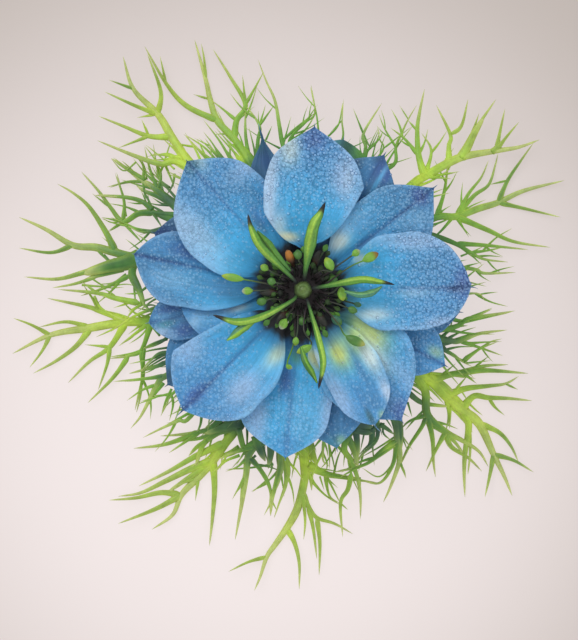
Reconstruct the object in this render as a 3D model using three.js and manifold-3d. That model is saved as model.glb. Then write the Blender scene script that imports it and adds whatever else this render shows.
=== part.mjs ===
/**
 * Love in a mist flower (Nigella damascena, double form), picked with a short stub of stem.
 *
 * Units are millimetres and +Z is up. The flower faces up. It rests on the ends of its lower
 * bracts and on the cut end of the stem. The pieces are laid out round the flower's own axis,
 * and the whole flower is then shifted so that the origin is at the bottom centre of its box.
 *
 * From the bottom: a stem that widens into the receptacle; sixteen feathery bracts in two
 * tiers; nineteen sepals stacked in levels; five nectaries; a ring of stamens; the pistil.
 */
import * as THREE from "three";
import { mergeVertices } from "three/addons/utils/BufferGeometryUtils.js";
import Module from "manifold-3d";

const wasm = await Module();
wasm.setup();

// ---------------------------------------------------------------- driving dimensions (mm)
const STEM = { radius: 1.05, collarFrom: 6.6, collarRadius: 1.6, sides: 16 };
const RECEPTACLE = { underside: 9.6, radius: 3.6, top: 14.0 };
const GAP = 0.3;

const BRACT = {
  start: 1.95, // where a rachis begins, out from the axis
  attach: 7.2, // height of a lower rachis's underside at the stem
  level: 8.0, // radius where the arch starts to fall
  touch: 31.0, // radius where the lower bracts meet the surface
  tipRise: 0.012, // how fast the ends lift again, per mm squared past the touch
  tierAtStem: 1.2, // height of the upper tier over the lower one, at the stem
  tierOutside: 1.9, // and away from it
  sway: 0.8, // most that a lobe climbs over its rachis
  tipWidth: 0.2, // width of a thread's end
  growth: 0.17, // width gained with the square root of the length still to go
  widest: 1.0,
  flatness: 0.55, // a thread's height over its width
};

const SEPAL = {
  start: RECEPTACLE.radius + GAP, // where a claw begins
  thickness: 0.35,
  clawHalfWidth: 0.75,
  clawHeight: 10.4, // middle of the lowest claw
  stepAtClaw: 0.62, // height from one level to the next, at the claws
  stepOutside: 0.92, // and in the blades
  rise: 0.6, // how much a blade lies above its claw
  stations: 8,
  across: 4,
};

const STAMEN = { rings: [2.2, 2.75], filamentRadius: 0.17, foot: RECEPTACLE.top + GAP, sides: 6, stations: 8 };
const NECTARY = { foot: 3.3, clawRadius: 0.2, headLength: 1.5, headRadius: 0.42, sides: 6, stations: 7 };
const PISTIL = { foot: RECEPTACLE.top + GAP, radius: 1.35, top: 18.4, ribs: 5, ribDepth: 0.07 };

// ---------------------------------------------------------------- tables of grown shapes
// Sepals: name, level in the stack, azimuth in degrees, reach, half-widths to the left and
// right of the midrib (looking out), place of the widest point, bluntness of the base and of
// the tip (more is more pointed), lift of the tip.
const SEPALS = [
  ["sepal_north", 5, 86, 22.1, 6.3, 7.2, 0.5, 3.2, 1.25, 1.1],
  ["sepal_east", 5, 1, 22.6, 7.5, 5.8, 0.5, 2.0, 0.8, 0.9],
  ["sepal_south_west", 5, -135, 22.9, 6.8, 7.0, 0.56, 2.0, 0.95, 1.0],
  ["sepal_south_east", 5, -62, 20.6, 4.7, 3.2, 0.6, 1.4, 0.9, 0.8],
  ["sepal_north_west", 4, 132, 23.4, 7.8, 6.1, 0.5, 1.3, 1.1, 0.6],
  ["sepal_north_east", 4, 38, 22.5, 4.9, 6.5, 0.47, 2.2, 1.4, 0.5],
  ["sepal_east_south_east", 4, -53, 22.2, 7.4, 6.0, 0.46, 1.5, 1.4, 0.4],
  ["sepal_south", 3, -96, 22.8, 5.4, 6.7, 0.62, 1.6, 1.2, 0.1],
  ["sepal_west", 3, 168, 23.3, 5.7, 5.2, 0.62, 1.6, 1.0, 0.0],
  ["sepal_north_north_east", 3, 60, 22.2, 5.2, 4.6, 0.6, 1.5, 1.3, 0.1],
  ["sepal_west_short", 2, -171, 16.6, 5.0, 3.8, 0.58, 1.3, 0.8, -0.2],
  ["sepal_north_by_east", 2, 75, 21.0, 4.4, 4.0, 0.6, 1.5, 1.6, -0.4],
  ["sepal_north_by_west", 1, 105, 22.3, 3.2, 3.8, 0.6, 1.5, 1.6, -0.9],
  ["sepal_west_north_west", 1, 159, 21.5, 3.4, 4.4, 0.62, 1.5, 1.2, -1.0],
  ["sepal_south_south_east", 2, -78, 21.9, 5.4, 4.4, 0.6, 1.5, 1.3, -0.5],
  ["sepal_east_by_south", 2, -28, 21.8, 4.3, 4.0, 0.62, 1.5, 1.2, -0.5],
  ["sepal_east_low", 1, -8, 21.4, 4.0, 4.2, 0.66, 1.5, 1.1, -1.0],
  ["sepal_west_low", 1, -168, 21.3, 3.3, 3.2, 0.7, 1.5, 0.9, -1.1],
  ["sepal_south_west_low", 0, -145, 22.4, 4.2, 5.6, 0.62, 1.5, 1.2, -1.6],
];

// Bracts: name, tier (0 rests on the surface, 1 lies above it), then the threads. A thread is
// a list of x, y places from the flower's axis; the first thread is the rachis, and each later
// one starts at a place that is already on the leaf.
const BRACTS = [
  ["bract_north_west", 1, [
    [-8, 9, -15.7, 17.8, -17.8, 20.8, -19.7, 23.9, -23, 27.3, -24.4, 31.7],
    [-23, 27.3, -26.3, 28.5],
    [-19.7, 23.9, -19.3, 27, -21.1, 32.1],
    [-19.7, 23.9, -22.7, 25, -26.9, 26.9],
    [-19.7, 23.9, -22.5, 23.4],
    [-17.8, 20.8, -20.9, 20.9, -24.5, 22.3, -27.7, 23.6],
    [-20.9, 20.9, -25, 19.3],
    [-20.9, 20.9, -21.9, 23.2],
    [-15.7, 17.8, -19.6, 18.4, -21.1, 18.1],
    [-8, 9, -16, 16.9, -19.3, 17.1, -22.5, 18.1, -27.9, 20.3],
  ]],
  ["bract_north_north_west", 0, [
    [-4, 9, -6.5, 15, -7.3, 17.4, -9.3, 20.5, -11.6, 23, -12.6, 25.9, -13.2, 28.6, -14.7, 34],
    [-13.2, 28.6, -13.4, 31.3, -13.8, 33.5],
    [-11.6, 23, -15.9, 25.1, -18.6, 28.1, -21.5, 33.1],
    [-18.6, 28.1, -19.4, 31.8],
    [-12.6, 25.9, -14.9, 26.6],
    [-9.3, 20.5, -9, 23, -7.8, 25.2, -9.9, 29, -12.2, 32.7],
    [-7.8, 25.2, -6.6, 27.3, -5.3, 29.7],
    [-7.8, 25.2, -8.2, 29.2],
    [-9, 23, -10.9, 24.6, -12.6, 25.9],
    [-6.5, 15, -7.7, 20.3, -7.8, 25.2],
    [-6.5, 15, -6.1, 20.3, -5.9, 22.3, -7.8, 25.2],
    [-5.9, 22.3, -3.9, 25.1],
    [-6.5, 15, -12.6, 17.8, -16.2, 21.2],
    [-6.5, 15, -11.2, 18, -13.3, 20.6],
  ]],
  ["bract_north", 1, [
    [-0.5, 10, -1.5, 17, -2.7, 19.6, -3.2, 22.3, -3.8, 25.7, -5, 28.4, -6.1, 31.3],
    [-1.5, 17, -1.8, 20.3, 0.3, 22.7, 1.6, 24, 1.1, 27.9],
    [0.3, 22.7, 2, 25.2],
    [-2.7, 19.6, -1.6, 23.6],
    [-0.5, 10, 3, 17, 5.3, 20.3, 5.3, 23, 5.5, 25.9],
    [5.3, 23, 3.6, 21.2],
  ]],
  ["bract_north_north_east", 0, [
    [5, 9, 7.5, 15, 8.5, 19.2, 8.2, 21.2, 10.7, 25.4],
    [8.2, 21.2, 6.8, 24.7],
    [7.5, 15, 10.8, 18.9, 10.4, 20.5, 10.1, 22.3],
    [7.5, 15, 12.2, 16.9, 12.6, 19.4, 13.4, 21.3, 14.3, 23.2, 15.5, 25.2],
    [14.3, 23.2, 13.1, 25.1],
    [12.6, 19.4, 11.1, 21.9, 10.3, 23.9],
  ]],
  ["bract_north_east", 1, [
    [8, 8, 14.7, 14.2, 16.5, 15.4, 19.8, 17.3, 22.1, 18.2, 26.2, 18.9, 29.3, 19.4, 32.1, 20.4],
    [26.2, 18.9, 26.9, 22.3, 27.4, 24.6],
    [26.2, 18.9, 27.7, 20.9, 29.3, 22.8],
    [22.1, 18.2, 22.7, 20.5, 24.2, 23, 26.2, 25.9],
    [22.7, 20.5, 23.9, 24],
    [19.8, 17.3, 19.8, 19.6, 20, 21.1, 18.1, 25.1],
    [20, 21.1, 21.5, 22.3, 22.4, 25.9],
    [16.5, 15.4, 15.7, 18.2, 15.5, 21.6, 15.8, 24, 16.5, 27.3],
    [15.7, 18.2, 13.8, 20.5, 11.9, 22],
    [15.5, 21.6, 14.2, 23.1],
    [16.5, 15.4, 17.4, 18.9, 16.1, 21.3],
    [16.5, 15.4, 20.1, 15.1],
  ]],
  ["bract_east", 0, [
    [9, 4, 15, 8, 18.1, 9.9, 20.8, 10, 23.9, 11.1, 26.5, 11.9, 30, 13.5, 35.5, 14.9],
    [26.5, 11.9, 30, 11.1, 35, 9.9],
    [26.5, 11.9, 27.8, 14.9, 29.6, 17.6, 31.3, 20],
    [27.8, 14.9, 25.2, 14.3],
    [20.8, 10, 23.2, 12.8, 25.2, 14.3, 26.1, 16.9, 26.5, 18.6],
    [20.8, 10, 22.5, 13.1, 24.2, 15.3, 25.2, 17.6],
    [20.8, 10, 25.2, 8.1, 28.6, 6.6, 33.6, 5.8],
    [20.8, 10, 22.5, 7.2],
    [18.1, 9.9, 19.2, 13.5, 19.8, 18.2],
    [15, 8, 18, 7.3, 20.7, 6.3, 22.8, 5.1, 24.6, 4.2, 27.9, 3.8],
    [20.7, 6.3, 24.6, 6.1, 30.6, 5.5],
    [22.8, 5.1, 25.2, 5.4, 27.4, 5.9],
    [9, 4, 22.1, 3, 24.6, 2.3, 28.9, 2.4],
  ]],
  ["bract_east_south_east", 1, [
    [9, -3.5, 14.5, -6, 19.6, -6.8, 21.2, -6.9, 23.9, -5.9, 27.7, -5.4],
    [21.2, -6.9, 24, -7.8, 27.1, -8.9],
    [14.5, -6, 20.5, -5, 22.3, -3.9, 25.2, -3.4, 28.8, -2.8],
    [22.3, -3.9, 25.7, -2.4],
    [14.5, -6, 19.8, -8.4, 21.5, -9.6, 23, -10.4],
    [21.5, -9.6, 23.9, -8, 25.5, -7, 27, -6.6],
    [9, -3.5, 22.3, -0.5, 24.8, -1.5],
  ]],
  ["bract_south_east", 0, [
    [8, -7, 13, -10.5, 15.4, -11.3, 17.3, -12.3, 19.4, -14.4, 21.5, -16.2, 23.9, -18.1, 25.9, -22.3,
      27.4, -25.4, 28.4, -27.9],
    [25.9, -22.3, 28.6, -23.1, 31.3, -24.7],
    [25.9, -22.3, 25.4, -25, 24.7, -28.1],
    [23.9, -18.1, 26.6, -19.3, 28.2, -21.1, 29.3, -23.4],
    [21.5, -16.2, 22.5, -18.2, 22, -22.3, 21.9, -25, 22, -28.1],
    [17.3, -12.3, 19.4, -11.6, 21.6, -11.1, 24.6, -10.3, 27.9, -10.1],
    [21.6, -11.1, 25.2, -10.9, 30.6, -11.3],
    [21.6, -11.1, 23.6, -12.7],
    [19.4, -14.4, 21.9, -13.4, 25.2, -13, 27.5, -12.7, 29.3, -11.7],
    [27.5, -12.7, 29.2, -13.5],
    [21.5, -16.2, 23.2, -14.4, 25.2, -14.6, 27.9, -14.7, 31.1, -15],
    [25.2, -14.6, 26.1, -15.9, 27.4, -17],
    [15.4, -11.3, 16.6, -13.8, 16.9, -16.9, 19.4, -19.2, 21.6, -20.4, 23.9, -21.9, 25.2, -24],
    [19.4, -19.2, 20.1, -21.2, 22.5, -22.8, 24.3, -24.6],
    [16.9, -16.9, 17.6, -20.3, 17.7, -23, 18, -25.4],
    [19.4, -19.2, 18.1, -21.6, 16.7, -24.6],
    [19.4, -14.4, 19.8, -16.9, 19.4, -19.2],
    [16.9, -16.9, 14.4, -17.8, 13.2, -19],
    [16.9, -16.9, 15.8, -19.2, 14.4, -21.3],
  ]],
  ["bract_south_south_east", 1, [
    [5, -9, 9.5, -14.5, 12.4, -17.3, 12.8, -20.3, 13.1, -23, 11.9, -26.6, 10.9, -28.8],
    [13.1, -23, 13.9, -25.4],
    [12.8, -20.3, 10.7, -21.7, 8.8, -23.4, 6.6, -24.6],
    [9.5, -14.5, 10.1, -19.8, 8, -22.3, 6.8, -24.3],
    [12.8, -20.3, 12.2, -23.6, 10.5, -26.1, 8, -25.9],
    [6.6, -24.6, 6.1, -27, 5.1, -28.9, 5.4, -33.5],
    [5.1, -28.9, 6.1, -29.8],
    [9.5, -14.5, 5.7, -20.7, 6.6, -23.2, 7.4, -25.5, 7.8, -28.1, 7.8, -31.1],
    [5, -9, 2.7, -21.6, 3.6, -24],
  ]],
  ["bract_south", 0, [
    [0, -10, -0.1, -17, -0.1, -21.2, 0.4, -23.9, -0.1, -27.3, -0.9, -30, -2.2, -32.3, -3.8, -34.6,
      -4.9, -36.2, -5.8, -38.9, -6.6, -40.8],
    [-4.9, -36.2, -7.4, -36.9, -10.1, -38.2],
    [-2.2, -32.3, -1.1, -34.4, -0.5, -37.1, -0.5, -40.6],
    [-0.1, -27.3, 0.7, -29.3, 1.9, -30.9, 4.3, -31.7, 6.8, -33.1],
    [1.9, -30.9, 2.3, -34.4, 2.2, -38.7],
    [0.7, -29.3, 1.4, -32.4, 1.9, -36.5],
    [-0.1, -27.3, 0.3, -31.1, 0.1, -33.9],
    [0.4, -23.9, 3, -25, 5.3, -25.4, 7.7, -25.8, 10.4, -26.2],
    [3, -25, 3.6, -27.9, 5.1, -29],
    [0.4, -23.9, 1.4, -25.9, 2.6, -27.3],
  ]],
  ["bract_south_south_west", 1, [
    [-3, -9, -5.5, -16, -6.2, -20.3, -7.4, -22.5, -7.7, -25, -8.2, -28.4, -9.2, -33.9],
    [-7.7, -25, -9.6, -28.4],
    [-7.4, -22.5, -8.8, -23.9, -10.5, -24.6],
    [-7.4, -22.5, -5.8, -24.3, -4.7, -26.1, -4.3, -28.4, -5.3, -30.6],
    [-4.7, -26.1, -7, -27.3],
    [-4.3, -28.4, -3.5, -30],
    [-5.5, -16, -3, -22.7, -3.1, -25.4, -4.3, -28.4],
    [-5.5, -16, -2.2, -23.2, -2.3, -26.3, -3.2, -28.8, -3.9, -30.9],
    [-6.2, -20.3, -8.5, -21.6, -11.9, -23.1],
  ]],
  ["bract_south_west", 0, [
    [-5, -8, -8, -14, -9, -18.5, -10.5, -20.7, -12.2, -23.1, -14.2, -25.4, -16.5, -27.8, -17.7, -30.5,
      -20.5, -32.5],
    [-16.5, -27.8, -20, -29.7, -25.1, -31.7],
    [-16.5, -27.8, -19.3, -27.5, -22.7, -28.2, -26.3, -28.5],
    [-12.2, -23.1, -15.3, -24.3, -18.6, -25.9, -22, -27.5, -25.1, -28],
    [-12.2, -23.1, -12, -27, -12.3, -31.1, -12.7, -34.7],
    [-10.5, -20.7, -14.3, -22.4, -18.2, -24.6, -22.3, -26.6],
    [-14.2, -25.4, -14.6, -28.6],
    [-14.2, -25.4, -17.3, -26.6],
    [-8, -14, -11.9, -18.2, -13.9, -19.2, -16.6, -19.6, -19.4, -19.8],
    [-13.9, -19.2, -18.6, -20.9, -23, -21.5],
    [-13.9, -19.2, -18.2, -22.1],
    [-9, -18.5, -13.2, -20.3, -14.2, -23, -15, -24],
  ]],
  ["bract_west_south_west", 1, [
    [-8, -6, -13, -9.5, -18.5, -11.6, -19.8, -12.8, -20.7, -14.6, -22, -17.1, -23.4, -18.8],
    [-18.5, -11.6, -21.3, -12, -25.7, -12.4],
    [-19.8, -12.8, -21.7, -13.5, -23.9, -15],
    [-13, -9.5, -17.8, -14.2, -18.4, -15.3, -19.3, -17.1],
    [-17.8, -14.2, -17.6, -15.5, -18.1, -17.7],
    [-17.8, -14.2, -20.5, -14.3],
    [-8, -6, -14.9, -16.7, -16.9, -17.7, -19.3, -18.8, -21.7, -20],
    [-13, -9.5, -18.6, -8.4, -20.7, -9.6, -22, -11.1],
    [-13, -9.5, -18.2, -9.7, -20, -10.3, -23.6, -11.3],
  ]],
  ["bract_west", 0, [
    [-9, -1.5, -15, -3.2, -20.5, -4.2, -24, -4.3, -28.8, -5.1, -34.3, -6.1, -39.4, -8.6],
    [-34.3, -6.1, -36.9, -4.7, -39.3, -3.8],
    [-34.3, -6.1, -35.5, -8.4, -37.1, -10.5],
    [-28.8, -5.1, -32.1, -4.3, -35.8, -5],
    [-28.8, -5.1, -30.8, -7.6, -33.5, -9.6, -36.6, -11.3],
    [-24, -4.3, -26.2, -7.7, -29, -9.7, -31.9, -12.6],
    [-26.2, -7.7, -26.6, -10.1, -27.8, -13.6],
    [-26.2, -7.7, -29.6, -7.4],
    [-20.5, -4.2, -21.9, -8.1, -23.6, -8.9, -26.3, -9.3],
    [-21.9, -8.1, -21.7, -11.5, -22.3, -14.2, -22.8, -16.3],
    [-23.6, -8.9, -25.8, -11.9, -29.2, -15.3],
    [-20.5, -4.2, -25, -7.6],
    [-15, -3.2, -18.9, -6.8, -21.9, -8.1],
    [-24, -4.3, -25.7, -3.5, -27.7, -2.8, -29.4, -2.2, -34.7, -1.1],
    [-27.7, -2.8, -28.4, -1.4, -29.8, 0.7],
  ]],
  ["bract_west_north_west", 1, [
    [-9, 2, -16, 3.8, -22.7, 4.5, -25.4, 5.1, -28.1, 5.8, -31.2, 6.1, -34.8, 8.2, -38.5, 9.9],
    [-31.2, 6.1, -34.2, 5.1, -38.5, 5.7],
    [-22.7, 4.5, -26.1, 3.5, -30.1, 2.3, -33.5, 1.5, -37.8, 1.8],
    [-26.1, 3.5, -28.1, 1.9, -30.8, 0.9, -34, 0.3],
    [-25.4, 5.1, -26.7, 7.8, -29, 11.3, -31.2, 13.2, -33.3, 14.4],
    [-22.7, 4.5, -23.4, 2, -22.3, -0.3, -22, -1.8, -23.6, -2.8],
    [-22, -1.8, -25.4, -1.1, -27.9, -0.4, -33.2, 0.1],
    [-27.9, -0.4, -30.1, 1.2],
    [-23.4, 2, -26.7, 0.4, -30.2, -0.8],
    [-28.1, 5.8, -26.1, 3.5],
    [-16, 3.8, -19.7, -2.6, -22, -1.8],
  ]],
  ["bract_west_by_north", 0, [
    [-8, 6, -14, 10, -17.7, 11.9, -19.6, 13.5, -21.7, 14.7, -25.7, 18],
    [-21.7, 14.7, -24, 14.7, -26.2, 13.9],
    [-21.7, 14.7, -21.7, 16.9, -23, 18.6],
    [-14, 10, -20, 10.5, -21.3, 11.7, -23.6, 12.6, -27, 12.7],
    [-20, 10.5, -22.3, 10.4, -24.4, 9.3, -26.1, 11.2, -27.7, 13.4, -30.1, 16.1],
    [-24.4, 9.3, -26.5, 8],
    [-24.4, 9.3, -24.3, 12.2, -25.5, 15.9],
    [-14, 10, -20.7, 8, -23.1, 8.4, -24.4, 9.3],
    [-24.4, 9.3, -27.4, 9.9],
    [-26.1, 11.2, -28.6, 13.1],
    [-19.6, 13.5, -20.7, 16.2, -21.5, 19.4],
    [-19.6, 13.5, -19.3, 15.9, -20.4, 18.2],
    [-21.7, 14.7, -21.3, 11.7],
  ]],
];

// Stamens: azimuth of the foot and of the anther in degrees, distance out and height of the
// anther, its length and its half-width.
const STAMENS = [
  [172, 170, 9.2, 17.2, 2.6, 0.5],
  [188, 181, 7.2, 17.0, 1.3, 0.5],
  [158, 165, 4.4, 17.4, 1.2, 0.5],
  [208, 196, 5.8, 16.9, 1.4, 0.5],
  [242, 240, 5.3, 17.2, 1.6, 0.55],
  [267, 268, 4.2, 16.4, 1.2, 0.5],
  [52, 45, 4.9, 17.9, 1.5, 0.55],
  [20, 18, 4.2, 16.3, 1.4, 0.5],
  [352, 354, 5.2, 17.8, 1.4, 0.55],
  [334, 338, 7.4, 17.3, 1.2, 0.45],
  [315, 318, 6.1, 16.2, 1.8, 0.55],
  [12, 26, 10.2, 17.6, 2.0, 0.6],
  [34, 35, 8.7, 17.0, 1.3, 0.45],
  [324, 316, 9.8, 17.5, 2.4, 0.55],
  [280, 271, 7.9, 17.6, 1.8, 0.6],
  [256, 262, 7.0, 17.0, 1.2, 0.4],
  [140, 150, 6.0, 17.3, 1.2, 0.45],
  [84, 98, 4.8, 17.3, 1.4, 0.5],
];

// Nectaries: azimuths in degrees.
const NECTARIES = [112, 66, 302, 232, 184];

// Styles: x, y, z places from the flower's axis, from the ovary to the tip.
const STYLES = [
  [[-0.5, 0.5, 17.2], [-1.8, 1.9, 18.6], [-5.5, 5.5, 20.6], [-6.9, 8.2, 20.7], [-7.3, 10.2, 20.2]],
  [[0.1, 0.7, 17.2], [0.4, 3.2, 18.9], [1.1, 8.2, 20.7], [2.1, 10.2, 20.6], [3, 11.9, 20.0]],
  [[0.7, 0.1, 17.2], [3.3, 0.6, 18.9], [7.6, 1.4, 20.5], [10.2, 1.1, 20.4], [12.4, 0.7, 19.8]],
  [[0.3, -0.6, 17.2], [1, -2.9, 18.9], [2.1, -6.8, 20.4], [2.6, -9.9, 20.4], [2.1, -13.4, 19.6]],
  [[-0.6, -0.4, 17.2], [-1.6, -1.5, 18.6], [-5.6, -3.6, 20.4], [-8.9, -4.3, 20.5], [-12.2, -3.4, 19.9]],
];
const STYLE = { widths: [0.7, 0.9, 1.15, 0.85, 0.25], flatness: 0.45, sides: 6, stations: 8 };

// ---------------------------------------------------------------- materials
const finish = (color, roughness) => new THREE.MeshStandardMaterial({ color, roughness, metalness: 0 });
const materials = {
  stem: finish("#5f8f35", 0.55),
  bract: finish("#7fae37", 0.5),
  sepal: finish("#5a9bd6", 0.45),
  stamen: finish("#6fae3a", 0.5),
  nectary: finish("#8a4a1e", 0.5),
  pistil: finish("#5f9a30", 0.45),
};

// ---------------------------------------------------------------- small maths
const radians = THREE.MathUtils.degToRad;
const mix = THREE.MathUtils.lerp;

/** Rises smoothly from 0 at `from` to 1 at `to`. */
function smooth(value, from, to) {
  const t = THREE.MathUtils.clamp((value - from) / (to - from), 0, 1);
  return t * t * (3 - 2 * t);
}

/** A place from its azimuth, its distance from the axis and its height. */
function polar(azimuth, distance, height) {
  return new THREE.Vector3(
    distance * Math.cos(radians(azimuth)),
    distance * Math.sin(radians(azimuth)),
    height,
  );
}

// ---------------------------------------------------------------- closed bodies
/** Six times the volume that a triangle list encloses; negative when its faces point in. */
function enclosed(points, faces) {
  let sum = 0;
  for (let f = 0; f < faces.length; f += 3) {
    const [a, b, c] = [points[faces[f]], points[faces[f + 1]], points[faces[f + 2]]];
    sum += a.dot(new THREE.Vector3().crossVectors(b, c));
  }
  return sum;
}

/**
 * A closed body through rings with the same even number of points. The second half of a ring
 * runs back beneath the first half, so a ladder of faces between the halves caps each end.
 */
function loft(rings) {
  const size = rings[0].length;
  const points = rings.flat();
  const faces = [];
  for (let ring = 0; ring + 1 < rings.length; ring++) {
    for (let j = 0; j < size; j++) {
      const a = ring * size + j;
      const b = ring * size + ((j + 1) % size);
      faces.push(a, b, b + size, a, b + size, a + size);
    }
  }
  const last = (rings.length - 1) * size;
  for (let j = 0; j < size / 2 - 1; j++) {
    const [a, b, c, d] = [j, j + 1, size - 2 - j, size - 1 - j];
    faces.push(a, d, b, b, d, c);
    faces.push(last + a, last + b, last + d, last + b, last + c, last + d);
  }
  if (enclosed(points, faces) < 0) faces.reverse();
  const geometry = new THREE.BufferGeometry().setFromPoints(points);
  geometry.setIndex(faces);
  return geometry;
}

/** Parameters of a curve at stations that are evenly spaced along its length. */
function evenly(curve, stations) {
  return Array.from({ length: stations + 1 }, (_, i) => curve.getUtoTmapping(i / stations));
}

/**
 * Rings along a curve at the given parameters. `section(share)` gives the half-width and the
 * half-height, with share 0 at the first ring and 1 at the last. The width runs as `across`
 * does, or level where that isn't given, and the height stands square to it.
 */
function sweep(curve, parameters, sides, section, across) {
  return loft(parameters.map((parameter, i) => {
    const centre = curve.getPoint(parameter);
    const along = curve.getTangent(parameter);
    const width = across ?? new THREE.Vector3(along.y, -along.x, 0);
    const side = width.clone().projectOnPlane(along).normalize();
    const up = new THREE.Vector3().crossVectors(side, along);
    const [halfWidth, halfHeight] = section(i / (parameters.length - 1));
    return Array.from({ length: sides }, (_, j) => {
      const angle = Math.PI - (2 * Math.PI * j) / sides;
      const point = centre.clone().addScaledVector(side, halfWidth * Math.cos(angle));
      return point.addScaledVector(up, halfHeight * Math.sin(angle));
    });
  }));
}

/** A closed geometry as a solid that can be joined. */
function solid(geometry) {
  return new wasm.Manifold(new wasm.Mesh({
    numProp: 3,
    vertProperties: new Float32Array(geometry.getAttribute("position").array),
    triVerts: new Uint32Array(geometry.getIndex().array),
  }));
}

/** Closed geometries joined to one. */
function join(geometries) {
  const mesh = geometries.map(solid).reduce((whole, piece) => whole.add(piece)).getMesh();
  const geometry = new THREE.BufferGeometry();
  geometry.setAttribute("position", new THREE.BufferAttribute(new Float32Array(mesh.vertProperties), 3));
  geometry.setIndex(new THREE.BufferAttribute(new Uint32Array(mesh.triVerts), 1));
  return geometry;
}

// ---------------------------------------------------------------- the pieces
/** Stem stub, collar for the bracts and receptacle for the rest, turned as one profile. */
function stem() {
  const profile = [
    [0, 0], [STEM.radius * 0.9, 0], [STEM.radius, 0.3], [STEM.radius, STEM.collarFrom],
    [STEM.collarRadius, STEM.collarFrom + 0.6], [STEM.collarRadius, RECEPTACLE.underside - 0.4],
    [RECEPTACLE.radius * 0.7, RECEPTACLE.underside], [RECEPTACLE.radius * 0.94, RECEPTACLE.underside + 0.5],
    [RECEPTACLE.radius, RECEPTACLE.underside + 1.3], [RECEPTACLE.radius, RECEPTACLE.top - 0.6],
    [RECEPTACLE.radius * 0.92, RECEPTACLE.top - 0.15], [RECEPTACLE.radius * 0.75, RECEPTACLE.top],
    [0, RECEPTACLE.top],
  ].map(([radius, height]) => new THREE.Vector2(radius, height));
  const geometry = new THREE.LatheGeometry(profile, STEM.sides).rotateX(Math.PI / 2);
  geometry.deleteAttribute("normal");
  geometry.deleteAttribute("uv");
  return mergeVertices(geometry);
}

/** Height of the underside of a thread of the given tier at a distance from the axis. */
function bractHeight(distance, tier) {
  const arch = BRACT.attach * (1 - smooth(distance, BRACT.level, BRACT.touch));
  const tip = BRACT.tipRise * Math.max(0, distance - BRACT.touch) ** 2;
  const lift = mix(BRACT.tierAtStem, BRACT.tierOutside, smooth(distance, 2, 10));
  return arch + tip + tier * lift;
}

/**
 * One thread of a bract. Its width falls with the square root of the length still to go. A lobe
 * climbs away from its rachis by an amount that its number in the leaf sets, and a place that
 * an earlier thread has passed keeps its height, which `heights` remembers.
 */
function thread(flat, tier, number, heights) {
  const places = [];
  for (let i = 0; i < flat.length; i += 2) places.push(new THREE.Vector3(flat[i], flat[i + 1], 0));
  if (number === 0) places.unshift(places[0].clone().setLength(BRACT.start));
  const length = new THREE.CatmullRomCurve3(places).getLength();
  const halfWidth = (t) =>
    0.5 * Math.min(BRACT.widest, BRACT.tipWidth + BRACT.growth * Math.sqrt(length * (1 - t)));
  const climb = BRACT.sway * Math.sin(2.4 * number) ** 2;
  places.forEach((place, i) => {
    const key = `${place.x} ${place.y}`;
    const share = i / (places.length - 1);
    if (!heights.has(key)) {
      const underside = bractHeight(place.length(), tier) + climb * share;
      heights.set(key, underside + halfWidth(share) * BRACT.flatness);
    }
    place.z = heights.get(key);
  });
  const shares = places.map((_, i) => i / (places.length - 1));
  return sweep(new THREE.CatmullRomCurve3(places), shares, 4, (share) => {
    return [halfWidth(share), halfWidth(share) * BRACT.flatness];
  });
}

/** One bract: its rachis and lobes joined to one leaf. */
function bract(tier, threads) {
  const heights = new Map();
  return join(threads.map((flat, number) => thread(flat, tier, number, heights)));
}

/** Share of a sepal's greatest width at the share t of its length. */
function sepalOutline(t, widest, base, tip) {
  const away = t < widest ? (widest - t) / widest : (t - widest) / (1 - widest);
  return (1 - away ** 3) ** (t < widest ? base : tip);
}

/** Height of the middle of a sepal of the given level, with its tip lifted by `lift`. */
function sepalHeight(distance, level, t, lift) {
  const step = mix(SEPAL.stepAtClaw, SEPAL.stepOutside, smooth(distance, 4, 11));
  const blade = SEPAL.rise * smooth(distance, 4, 12);
  return SEPAL.clawHeight + level * step + blade + lift * t ** 4;
}

/** One sepal: a thin plate between its outline's two sides, from the claw to the tip. */
function sepal(level, azimuth, reach, left, right, widest, base, tip, lift) {
  const rings = [];
  for (let i = 0; i <= SEPAL.stations; i++) {
    const t = Math.sin((Math.PI / 2) * (i / SEPAL.stations));
    const along = mix(SEPAL.start, reach, t);
    const share = Math.max(sepalOutline(t, widest, base, tip), 0.01);
    const claw = SEPAL.clawHalfWidth * (1 - t);
    const top = [];
    for (let j = 0; j <= SEPAL.across; j++) {
      const v = 1 - (2 * j) / SEPAL.across;
      const side = v > 0 ? left : right;
      const lateral = v * (claw + (side - claw) * share);
      const height = sepalHeight(Math.hypot(along, lateral), level, t, lift);
      top.push(new THREE.Vector3(along, lateral, height + SEPAL.thickness / 2));
    }
    const bottom = top.map((point) => point.clone().setZ(point.z - SEPAL.thickness)).reverse();
    rings.push([...top, ...bottom]);
  }
  return loft(rings).rotateZ(radians(azimuth));
}

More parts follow.
